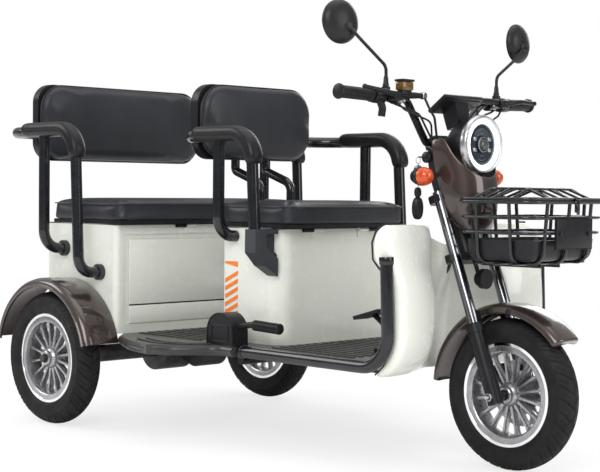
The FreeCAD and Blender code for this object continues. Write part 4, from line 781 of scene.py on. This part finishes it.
# Fenders
def front_fender():
    shape = Shape()
    half, radius, wall = 54, 251, 3.2
    edge = [(-half, radius - 27), (-half - 1.5, radius - 24), (-half, radius - 18),
            (-half * 0.93, radius - 11),
            (-half * 0.78, radius - 4.5), (-half * 0.5, radius - 1)]
    outer = edge + [(0, radius)] + opposite(edge)
    inner = [(a * 0.94, r - wall) for a, r in reversed(outer)]
    shape.turned(outer + inner, FRONT_AXLE, -LEFT, 72, start=40, end=176, closed=True, up=AHEAD)
    make("front_fender_skin", shape, [BRONZE], "steering", ["front_fender"], angle=50, level=1)
    bolts = Shape()
    for side in (-1, 1):
        for a in map(math.radians, (84, 100)):
            bolts.turned([(-2, 0), (-2, 8), (1, 8), (3, 6), (4, 0)],
                         FRONT_AXLE + vec(math.cos(a) * 230, side * 55, math.sin(a) * 230), (0, side, 0),
                         20)
    make("front_fender_bolts", bolts, [FRAME], "steering", ())


front_fender()


def rear_fender_pair():
    shape = Shape()
    inner, radius, outer, wall = 400.5, 257, 530, 3.5
    skin = [(inner, radius - 3), (inner + 4, radius), (inner + 60, radius + 1), (outer - 26, radius + 0.5),
            (outer - 13, radius - 3), (outer - 4, radius - 10), (outer - 1, radius - 17),
            (outer - 2.5, radius - 20),
            (outer, radius - 22), (outer - 0.5, radius - 27), (outer - 4, radius - 28)]
    under = [(min(a - (wall if i > 3 else 0), outer - 5), r - (wall if i < len(skin) - 3 else 0))
             for i, (a, r) in enumerate(skin)]
    shape.turned(skin + under[::-1], vec(0, 0, REAR_RADIUS), -LEFT, 80, start=14, end=168, closed=True,
                 up=AHEAD)
    shape.verts = [vec(p.x, abs(p.y), p.z) for p in shape.verts]
    shape.mirrored()
    make("rear_fender_skins", shape, [BRONZE], "chassis", ["rear_fenders"], angle=50)


rear_fender_pair()


# Head cowl
COWL_ROWS = (
    # height, half width, rear x, front x
    (646, 48, 1338, 1368),
    (666, 66, 1320, 1378),
    (700, 80, 1302, 1386),
    (745, 87, 1286, 1389),
    (790, 90, 1272, 1384),
    (840, 95, 1262, 1374),
    (880, 98, 1258, 1364),
    (910, 92, 1254, 1352),
)


def cowl_point(height, angle):
    for (z0, h0, r0, f0), (z1, h1, r1, f1) in zip(COWL_ROWS, COWL_ROWS[1:]):
        if height <= z1:
            break
    s = min(1, max(0, (height - z0) / (z1 - z0)))
    half, rear, front = h0 + (h1 - h0) * s, r0 + (r1 - r0) * s, f0 + (f1 - f0) * s
    return vec(rear + (front - rear) * max(0, math.cos(angle)) ** 0.7, half * blunt(math.sin(angle)),
               height)


def head_cowl():
    count, steps, lamp_cut, highest = 30, 22, 90, 904
    columns = []
    for k in range(count + 1):
        angle = math.pi * (k / count - 0.5)
        low = COWL_ROWS[0][0] + 26 * max(0, abs(math.sin(angle)) - 0.75)
        top = low
        while top < highest:
            p = cowl_point(top + 2, angle)
            if math.hypot(p.y, p.z - LAMP_CENTRE.z) < lamp_cut:
                break
            top += 2
        columns.append([cowl_point(low + (top - low) * i / steps, angle) for i in range(steps + 1)])
    shape = Shape()
    shape.rings(columns, around=False)
    piece = make("head_cowl_skin", shape, [BRONZE], "steering", ["head_cowl"], angle=180,
                 face=AHEAD)
    solidify(piece, 3.5)
    smooth(piece, 1)
    liner = Shape()
    for side in (-1, 1):
        rows = []
        for i in range(15):
            z = 690 + 186 * i / 14
            edge = cowl_point(z, side * math.pi / 2)
            front, back = edge.x + 14, edge.x - 20 - 8 * math.sin(math.pi * i / 14)
            rows.append([vec(x, side * (abs(edge.y) - inset), z)
                         for x, inset in ((front, 5), (back, 9), (back, 13), (front, 10))])
        liner.rings(rows, caps=True)
    make("head_cowl_liner", liner, [PLASTIC], "steering", ())


head_cowl()


def bowl():
    shape = Shape()
    shape.turned([(-93, 0), (-93, 20), (-91, 36), (-82, 50), (-66, 61), (-44, 70), (-20, 75), (-10, 76.2),
                  (-3, 76.4), (-1, 74), (-1, 0)], LAMP_CENTRE, AHEAD, 96)
    make("lamp_bowl", shape, [PLASTIC], "steering", ["headlight_bowl"], angle=50)


bowl()


# Instrument housing: a flat case on a narrower neck, its face towards the rider
def dash():
    low_edge, high_edge = vec(1229, 0, 985), vec(1291, 0, 1028)
    slope = (high_edge - low_edge).normalized()
    normal = vec(-slope.z, 0, slope.x)
    shape = Shape()

    def slab(inset, depth, tall):
        a, b = low_edge + slope * inset - normal * depth, high_edge - slope * inset - normal * depth
        shape.prism([p + LEFT * y for p, y in ((a, inset - 80), (a, 80 - inset), (b, 83 - inset),
                                               (b, inset - 83))],
                    normal * tall, 1.6)
    slab(0, 11, 11)
    slab(9, 13.5, 4)
    shape.rings([[vec(x0, -half, z), vec(x0, half, z), vec(x1, half, z + 12), vec(x1, -half, z + 12)]
                 for x0, x1, z, half in ((1236, 1284, 996, 30), (1240, 1290, 975, 27),
                                         (1246, 1292, 950, 24),
                                         (1252, 1290, 930, 22))], caps=True)
    shape.mark = 1
    slab(7, -0.4, 1.0)
    shape.mark = 2
    spot = low_edge + slope * 34 - normal * 14
    shape.prism([spot + slope * u + LEFT * y for u, y in ((-7, 16), (-7, 34), (7, 34), (7, 16))],
                -normal * 1.2, 0.6)
    shape.mark = 3
    shape.tube([edge + slope * out + LEFT * y - normal * 3 for edge, out, y in (
        (low_edge, -0.4, -79), (high_edge, 0.4, -82), (high_edge, 0.4, 82), (low_edge, -0.4, 79))], 1.1, 8,
        closed=True)
    make("instrument_housing", shape, [PLASTIC, SCREEN, BOOT, CHROME], "steering", ["dash"],
         angle=30)


dash()


# Controls on the bar
def bar_place(y, ahead=0, up=0):
    """A point of the bar's outer run at a distance from the middle plane, moved ahead and up."""
    share = (abs(y) - 165) / 250
    return vec(1223.4 - 18 * share, y, 1012 + 9 * share) + vec(ahead, 0, up)


def bar_side(side):
    hand = "right" if side < 0 else "left"
    out = (bar_place(side * 400) - bar_place(side * 200)).normalized()
    grip = Shape()
    profile = [(0, 11.5), (0, 18.5), (3, 19.5), (6, 18.5), (7, 17)]
    for start in (9 + k * 4.6 for k in range(22)):
        profile += [(start, 16.4), (start + 1.2, 17.2), (start + 3.2, 17.2), (start + 4.4, 16.4)]
    profile += [(112, 17), (114, 20.5), (119, 21.2), (122, 20), (123.5, 16), (123.5, 0)]
    grip.turned(profile, bar_place(side * 297), out, 40)
    make("grip_" + hand, grip, [PLASTIC], "steering", ["grips"] if side < 0 else (),
         angle=40)

    # Lever with its ball end, clamp, throttle sleeve and switch block
    parts = Shape()
    tip = bar_place(side * 372, 52, 14 if side < 0 else 4)
    lever = bent([bar_place(side * 232, 34, 2), bar_place(side * 262, 50, 4), bar_place(side * 300, 54, 8),
                  tip],
                 [20, 60])
    parts.tube(lever, [5.4 - 1.4 * i / (len(lever) - 1) for i in range(len(lever))], 14, flat=1.5)
    parts.turned([(-7, 0), (-6, 4), (-3, 6.6), (0, 7.2), (3, 6.6), (6, 4), (7, 0)], tip, out, 20)
    clamp, body, hang = (bar_place(side * y) for y in (232, 204, 272))
    parts.block(clamp + vec(6, -16, -11), clamp + vec(40, 16, 13), 4)
    parts.turned([(-14, 12), (-14, 17), (-12, 18.5), (12, 18.5), (14, 17), (14, 12)], body, out, 32)
    parts.turned([(-20, 12), (-20, 19), (-17, 21), (17, 21), (20, 19), (20, 12)], hang, out, 32)
    if side < 0:
        drop = [hang + vec(8, 0, -14), hang + vec(14, 4, -34), hang + vec(12, 2, -56)]
        parts.tube(bent(drop, [20]), 13, 16, flat=0.8)

    # Bracket with its screws, brake cylinder, hose and wires
    parts.mark = 1
    parts.block(body + vec(10, -9, -15), body + vec(24, 9, 13), 3)
    for dy in (-5.5, 5.5):
        for dz in (7, -9):
            parts.turned([(0, 0), (0, 4), (4, 4), (5, 3), (5, 0)], body + vec(24, dy, dz), AHEAD, 6)
    parts.mark = 0
    start = bar_place(side * 216, 22, 6)
    cylinder_end = start + vec(4, side * -92, 2)
    parts.tube([start, start + (cylinder_end - start) * 0.6, cylinder_end], [10.5, 9.5, 7.5], 18)
    parts.mark = 1
    bolt = cylinder_end + vec(0, side * -4, 0)
    parts.turned([(-8, 6), (-8, 9), (-5, 10), (5, 10), (8, 9), (8, 6)], bolt, (1, 0.2, 0), 24)
    parts.turned([(-10, 0), (-10, 5), (10, 5), (10, 0)], bolt, (1, 0.2, 0), 6)
    parts.mark = 2
    for radius, radii, first, second, *rest in (
            (3.4, [14, 24, 30], bolt + vec(0, side * -6, -4), bolt + vec(10, side * -14, -32),
             (1268, 96, 962), (1262, 78, 905), (1262, 62, 850)),
            (3.0, [30, 34, 30], hang + vec(2, side * -18, -8), bar_place(side * 196, 12, -24),
             (1240, 128, 972), (1248, 88, 908), (1254, 70, 850)),
            (2.8, [26, 34, 30], bar_place(side * 238, 26, -8), bar_place(side * 206, 34, -34),
             (1276, 120, 950), (1256, 92, 902), (1252, 66, 850))):
        parts.tube(bent([first, second] + [(x, side * y, z) for x, y, z in rest], radii), radius, 12)
    make("bar_set_" + hand, parts, [PLASTIC, STEEL, TRIM], "steering", ["bar_controls"] if side < 0 else (),
         angle=40)


def reservoir():
    tank = Shape()
    place = bar_place(-197, 24, 32)
    for mark, low, high, bevel in ((0, (-15, -22, -13), (15, 22, 11), 4),
                                   (1, (-17, -24, 11), (17, 24, 18), 2.5),
                                   (1, (-11, -19, -24), (11, 19, -12), 3)):
        tank.mark = mark
        tank.block(place + vec(*low), place + vec(*high), bevel)
    make("fluid_reservoir", tank, [BRASS, PLASTIC], "steering", ())


bar_side(-1)
bar_side(1)
reservoir()


# Lock behind the cowl with its key, tag and fob
def key_set():
    parts = Shape()
    lock = vec(1240, -58, 852)
    parts.tube([lock, lock + vec(-3, -34, 1)], 14, 24)
    parts.turned([(0, 0), (0, 16), (3, 16), (5, 14), (5, 0)], lock + vec(-3, -33, 1), -LEFT, 28)
    parts.mark = 1
    head = lock + vec(-4, -42, 1)
    parts.block(head + vec(-2, -26, -2.5), head + vec(2, 4, 2.5), 0.8)
    ring_centre = head + vec(0, -26, -9)
    parts.tube([ring_centre + vec(0, math.cos(a) * 9, math.sin(a) * 9)
                for a in (math.pi * k / 12 for k in range(24))], 0.9, 8, closed=True)
    chain = ring_centre + vec(0, 0, -9)
    parts.tube([chain + vec(2 * math.sin(k * 2.1), 1.5 * math.cos(k * 2.1), -k * 4) for k in range(18)],
               1.5, 6)
    flat, thick = vec(0.70, 0.71, 0), vec(0.71, -0.70, 0)
    for mark, drop, half_wide, half_tall, half_thick in ((2, 22, 13, 17, 2), (0, 80, 10, 14, 6),
                                                         (0, 124, 16, 31, 7)):
        parts.mark = mark
        rows = []
        for k in range(13):
            a = math.pi * k / 12
            swell = max(0.12, math.sin(a)) ** 0.6
            rows.append([chain + vec(0, 0, -drop) + flat * (u * half_wide * swell)
                         + thick * (w * half_thick * swell)
                         + vec(0, 0, half_tall * math.cos(a)) for u, w in octagon(0.5, 0.7)])
        parts.rings(rows, caps=True)
    make("key_and_fob", parts, [PLASTIC, STEEL, SCREEN], "steering", (), angle=50)


key_set()


# Turn signals
def signals():
    lens, body = Shape(), Shape()
    centre = vec(1262, -154, 799)
    body.turned([(-24, 0), (-24, 8), (-18, 15), (-6, 22), (6, 25.4), (11, 26), (12, 25), (12, 22), (8, 20),
                 (8, 0)],
                centre, AHEAD, 40)
    stalk = bent([centre + vec(0, 8, 0), centre + vec(-2, 34, 2), centre + vec(4, 58, 2)], [20])
    body.tube(stalk, [9, 8.5] + [8] * (len(stalk) - 2), 16)
    lens.turned([(10, 22.5), (10.5, 24.6), (18, 25.3), (27, 24.6), (35, 21.5), (41, 17), (45.5, 10),
                 (47, 0)],
                centre, AHEAD, 48)
    for k in range(5):
        along, reach = 16 + k * 5, 25.6 - 0.34 * k * k
        lens.turned([(along, reach - 1), (along + 0.8, reach + 0.5), (along + 1.6, reach - 1)], centre,
                    AHEAD, 48)
    body.mirrored()
    lens.mirrored()
    make("signal_bodies", body, [PLASTIC], "steering", ["signal_housings"])
    make("signal_amber_lenses", lens, [AMBER], "steering", ["signal_lenses"])


signals()


# Foot rails and the deck's rounded lip
def rails_and_lip():
    low, high = node_box("deck_rails")
    radius = 17.5
    y, bottom = high.y - radius, low.z + radius
    path = bent([(low.x, y, bottom), (high.x - radius, y, bottom), (high.x - radius - 12, y, high.z)], [92],
                5)
    shape = Shape()
    shape.tube(path, radius, 24)
    shape.turned([(-3, 0), (-3, 19), (0, 20), (14, 20), (18, 18.5), (18, 17)], path[-1],
                 path[-2] - path[-1], 28)
    shape.turned([(-2, 0), (-2, 19), (0, 20), (10, 20), (12, 18.5), (12, 17)], path[0], AHEAD, 28)
    shape.mirrored()
    make("foot_rails", shape, [TUBE], "chassis", ["deck_rails"], angle=50)
    lip = Shape()
    edge = bent([(262, 396, 285), (400, 470, 285), (520, 500, 285), (592, 468, 285), (636, 412, 285),
                 (668, 357, 285), (740, 357, 285)], [120, 160, 60, 90, 60], 6)
    lip.tube(edge, 15.5, 20)
    for share, ahead, inwards in ((0.985, 6, 26), (0.97, 12, 60)):
        lip.tube([vec(q.x * share + ahead, q.y - inwards, 301.5) for q in edge[1:-1]], 2.4, 8)
    lip.mirrored()
    make("footboard_lip", lip, [DECK], "chassis", (), angle=50)


rails_and_lip()


# Mirrors
def mirror(side):
    radius = 58
    head, base = vec(1183.4, side * 388, 1208), vec(1217.8, side * 242.5, 1044.8)
    facing = vec(-1, side * -0.12, -0.04).normalized()
    joint = vec(0, side * -8, -14)
    shape = Shape()
    shape.turned([(5, radius - 4), (6.5, radius - 3), (7, radius - 1), (5, radius + 1), (0, radius + 1.6),
                  (-5, radius), (-11, radius - 5), (-17, radius - 14), (-21, radius - 25),
                  (-24, radius - 38),
                  (-25.5, radius - 50), (-26, 0)], head, facing, 72)
    shape.turned([(-34, 0), (-34, 7), (-30, 10), (-22, 13), (-18, 14)], head + joint, facing, 28)
    shape.tube(bent([base, base + vec(0, 0, 52), head + vec(34, side * -44, -46),
                     head + facing * -27 + joint],
                    [26, 16]), 4.6, 14)
    shape.turned([(0, 0), (0, 9.5), (8, 9.5), (10, 8), (24, 7), (30, 5.5), (31, 0)], base + vec(0, 0, -4),
                 UP, 6)
    shape.turned([(-22, 0), (-22, 12), (-4, 12), (-3, 10), (-3, 0)], base, UP, 28)
    shape.mark = 1
    shape.turned([(5.4, 0), (5.6, radius - 4)], head, facing, 72)
    make("mirror_%s" % ("right" if side < 0 else "left"), shape, [MIRROR_BACK, MIRROR], "steering",
         ["mirrors"] if side < 0 else (), angle=50)


mirror(-1)
mirror(1)


# Basket, tray and lid
# Rear, front, half width, height of the rim and of the foot
BASKET = (1405, 1655, 170, 733, 572)
BASKET_TAPER = 14


def inset_at(height):
    """How far the basket's walls have come in at a height."""
    rim, foot = BASKET[3:]
    return BASKET_TAPER * (rim - height) / (rim - foot)


def loop_at(height, inset, corner=42):
    """The basket's outline at a height, moved in."""
    rear, front, half = BASKET[:3]
    return [vec((rear + front) / 2 + x, y, height)
            for x, y in corner_arcs((front - rear) / 2 - inset, half - inset, corner - inset * 0.6, 10)]


def basket():
    rear, front, half, rim, foot = BASKET
    middle = (rear + front) / 2
    shape = Shape()
    shape.tube(loop_at(rim, 0), 5.4, 16, closed=True)
    for height in (692, 652):
        shape.tube(loop_at(height, inset_at(height)), 4.6, 14, closed=True)
    for x in (middle - 54, middle + 54):
        shape.tube(bent([(x, -half, rim), (x, -half + BASKET_TAPER, foot), (x, half - BASKET_TAPER, foot),
                         (x, half, rim)], [34, 34]), 4.9, 14)
    for y in (-98, 0, 98):
        shape.tube(bent([(rear, y, rim), (rear + BASKET_TAPER, y, foot), (front - BASKET_TAPER, y, foot),
                         (front, y, rim)], [34, 34]), 4.9, 14)
    for y in (-36, 36):
        shape.turned([(-6, 4.6), (-6, 8.6), (6, 8.6), (6, 4.6)], (rear, y, 741.3), LEFT, 24, closed=True)
    shape.block((front + 3, 15, 706), (front + 8, 35, 738), 2)
    shape.block((front + 7, 19, 700), (front + 11, 31, 728), 1.6)
    make("basket_wires", shape, [TUBE], "steering", ["basket"], angle=50)

    tray = Shape()
    outer = ((577.5, 44), (577.5, 38), (579, 31), (584, 25), (592, 20.5), (602, 18),
             (630, inset_at(630) + 6.5),
             (633, inset_at(633) + 5.5), (634, inset_at(634) + 7.5))
    rows = [loop_at(height, inset, 46) for height, inset in outer]
    rows += [loop_at(max(height, 580.5), inset + 3, 46) for height, inset in reversed(outer[:-2])]
    tray.rings(rows)
    for row in (rows[0], rows[-1]):
        tray.add(row, [tuple(range(len(row)))])
    make("basket_tray", tray, [PLASTIC], "steering", ["basket_pan"], angle=40)

    lid = Shape()
    level, crest, slope = 741.3, 767, 74
    lid.tube(loop_at(level, 0), 3.8, 14, closed=True)
    for x in (middle - 62, middle, middle + 62):
        lid.tube(bent([(x, -half, level), (x, -half + slope, crest), (x, half - slope, crest),
                       (x, half, level)],
                      [90, 90], 5), 3.6, 12)
    for y in (-92, -46, 0, 46, 92):
        lid.tube(bent([(rear, y, level), (rear + slope, y, crest + 1), (front - slope, y, crest + 1),
                       (front, y, level)], [90, 90], 5), 3.6, 12)
    lid.block((front + 2, 13, 738.5), (front + 10, 37, 746), 2)
    make("basket_lid_wires", lid, [TUBE], "lid", ["basket_lid"], angle=50)

    bolts = Shape()
    plate_face = 1662.3
    for y in (-52, 75):
        bolts.turned([(0, 0), (0, 7.5), (1.2, 7.5), (1.2, 6), (4.5, 5.6), (5.6, 4), (6, 0)],
                     (plate_face, y, 650),
                     AHEAD, 24)
    bolts.prism([vec(plate_face, y, z) for y, z in ((-69, 612), (92, 612), (92, 687), (-69, 687))],
                AHEAD * 0.9, 0.4)
    make("plate_bolts", bolts, [PLASTIC], "steering", ())


basket()


# Stripes, seams and edges on the boxes
def box_trim():
    stripes = Shape()
    slants = [(high - 26, high, high - 13, max(high - 39, 350)) for high in range(514, 390, -24)]
    for heights in [(541, 541, 524, 534)] + slants:
        stripes.prism([vec(x, -250.2, z) for x, z in zip((577, 634, 634, 577), heights)], vec(0, -0.7, 0),
                      0)
    make("box_stripes", stripes, [ORANGE], "chassis")

    rear_box, front_box = node_box("rear_box"), node_box("front_box")
    panel, seam = Shape(), Shape()
    x = rear_box[1].x
    panel.block((x - 1, -347, 391), (x + 3, 347, 596), 1.4)
    panel.block((x - 1, -347, rear_box[0].z + 30), (x + 3, 347, 386.6), 1.4)
    make("rear_box_panel", panel, [WHITE], "chassis", ())
    seam.block((x - 1, -346, 387), (x + 1.6, 346, 390.6), 0.4)
    for low, high in (rear_box, front_box):
        seam.tube([(x, y, high.z - 1.5) for x, y in ((low.x - 1, low.y - 1), (high.x + 1, low.y - 1),
                                                     (high.x + 1, high.y + 1), (low.x - 1, high.y + 1))],
                  1.5, 8, closed=True)
    make("box_seams", seam, [TRIM], "chassis", ())

    brake = Shape()
    low, high = node_box("hand_brake")

    def on_face(dx, dz):
        return vec(low.x + dx, low.y - 0.6, low.z + dz)
    brake.tube(bent([on_face(*p) for p in ((60, 12), (94, 12), (94, 58), (22, 58), (22, 12), (59, 12))],
                    [9, 9, 9, 9]), 1.8, 8)
    rim = [on_face(57 + 55.5 * math.cos(a), 39 + 55.5 * math.sin(a))
           for a in (math.pi * k / 24 for k in range(25))]
    brake.tube([on_face(112.5, 2)] + rim + [on_face(1.5, 2)], 2.0, 8)
    profile = [(0, 12), (0, 15)]
    for start in (k * 6.4 for k in range(15)):
        profile += [(3 + start, 15.8), (6.4 + start, 15.8), (6.8 + start, 14.2), (8.8 + start, 14.2)]
    profile += [(101, 16.2), (105, 16), (108, 13), (109.5, 8), (110, 0)]
    brake.turned(profile, (low.x + 176, (low.y + high.y) / 2, low.z + 65.5), (104, 0, -3.7), 32)
    make("hand_brake_relief", brake, [PLASTIC], "chassis", (), angle=40)

    nuts = Shape()
    for side in (-1, 1):
        hex_nut(nuts, FRONT_AXLE + LEFT * side * 98, LEFT * side, 12, 9)
    make("fork_axle_nuts", nuts, [STEEL], "steering", ())


box_trim()


# Floor, light and camera
def seen_directly(tree):
    """One where a ray comes from the camera or through glass."""
    rays = [add_node(tree, "ShaderNodeLightPath", ray) for ray in ("Is Camera Ray", "Is Transmission Ray")]
    return add_node(tree, "ShaderNodeMath", 0, {0: rays[0], 1: rays[1]}, operation="MAXIMUM")


def floor():
    """A pale floor that keeps the shadow near the vehicle and is white further out."""
    ground = bpy.data.materials.new("studio_floor")
    ground.use_nodes = True
    tree = ground.node_tree
    shader = tree.nodes["Principled BSDF"]
    for key, value in (("Base Color", (0.92, 0.92, 0.92, 1)), ("Roughness", 0.9),
                       ("Specular IOR Level", 0.1)):
        shader.inputs[key].default_value = value
    glow = add_node(tree, "ShaderNodeEmission", 0, {"Color": (1, 1, 1, 1), "Strength": 1.0})
    place = add_node(tree, "ShaderNodeTexCoord", "Object")
    distance = add_node(tree, "ShaderNodeVectorMath", "Value", {0: place}, operation="LENGTH")
    fade = spread(tree, distance, 0.74, 1.0, 1.2, 3.4)
    share = add_node(tree, "ShaderNodeMath", 0, {0: seen_directly(tree), 1: fade}, operation="MULTIPLY")
    mix = add_node(tree, "ShaderNodeMixShader", 0, {0: share, 1: shader.outputs[0], 2: glow})
    feed(tree, tree.nodes["Material Output"].inputs["Surface"], mix)
    mesh = bpy.data.meshes.new("studio_floor")
    size = 30
    mesh.from_pydata([(-size, -size, 0), (size, -size, 0), (size, size, 0), (-size, size, 0)], [],
                     [(0, 1, 2, 3)])
    mesh.materials.append(ground)
    item = bpy.data.objects.new("studio_floor", mesh)
    bpy.context.scene.collection.objects.link(item)


def sky():
    """White where it is seen, and darker towards the horizon for the light that it gives."""
    world = bpy.data.worlds.new("studio")
    world.use_nodes = True
    bpy.context.scene.world = world
    tree = world.node_tree
    background = tree.nodes["Background"].inputs
    background["Color"].default_value = (1, 1, 1, 1)
    height = add_node(tree, "ShaderNodeSeparateXYZ", "Z", {0: add_node(tree, "ShaderNodeTexCoord",
                                                                       "Generated")})
    strength = {"Factor": seen_directly(tree), "A": spread(tree, height, 0.12, 0.85, -0.05, 0.95), "B": 1.0}
    feed(tree, background["Strength"], add_node(tree, "ShaderNodeMix", "Result", strength,
                                                data_type="FLOAT"))


def area_light(name, place, target, size, power):
    data = bpy.data.lights.new(name, "AREA")
    data.shape = "RECTANGLE"
    data.size, data.size_y = size
    data.energy = power
    item = bpy.data.objects.new(name, data)
    bpy.context.scene.collection.objects.link(item)
    item.location = place
    item.rotation_mode = "QUATERNION"
    item.rotation_quaternion = (Vector(target) - Vector(place)).to_track_quat("-Z", "Y")


def camera():
    data = bpy.data.cameras.new("photo_camera")
    data.sensor_width = 36
    focal_pixels, image_width = 1463, 600
    data.lens = data.sensor_width * focal_pixels / image_width
    data.clip_start, data.clip_end = 0.05, 100
    item = bpy.data.objects.new("photo_camera", data)
    bpy.context.scene.collection.objects.link(item)
    yaw, pitch, roll = math.radians(45.44), math.radians(1.81), math.radians(0.57)
    forward = vec(-math.sin(yaw) * math.cos(pitch), math.cos(yaw) * math.cos(pitch), -math.sin(pitch))
    right = vec(math.cos(yaw), math.sin(yaw), 0)
    up = right.cross(forward)
    right, up = (right * math.cos(roll) + up * math.sin(roll), up * math.cos(roll) - right * math.sin(roll))
    turn = Matrix((right, up, -forward)).transposed()
    item.matrix_world = Matrix.Translation(at(3899, -3205, 759)) @ turn.to_4x4()
    bpy.context.scene.camera = item


floor()
sky()
area_light("key", (3.0, -4.6, 3.6), (0, 0, 0.5), (3.2, 3.2), 210)
area_light("fill", (5.2, 1.6, 2.2), (0, 0, 0.6), (2.6, 2.6), 90)
area_light("rim", (-3.6, -2.8, 3.4), (0, 0, 0.6), (2.4, 2.4), 90)
area_light("top", (0.2, 0.2, 4.6), (0, 0, 0), (4.0, 4.0), 70)
area_light("back", (-1.5, 4.8, 2.8), (0, 0, 0.6), (3.0, 2.4), 80)
camera()

view = bpy.context.scene.view_settings
view.view_transform = "Standard"
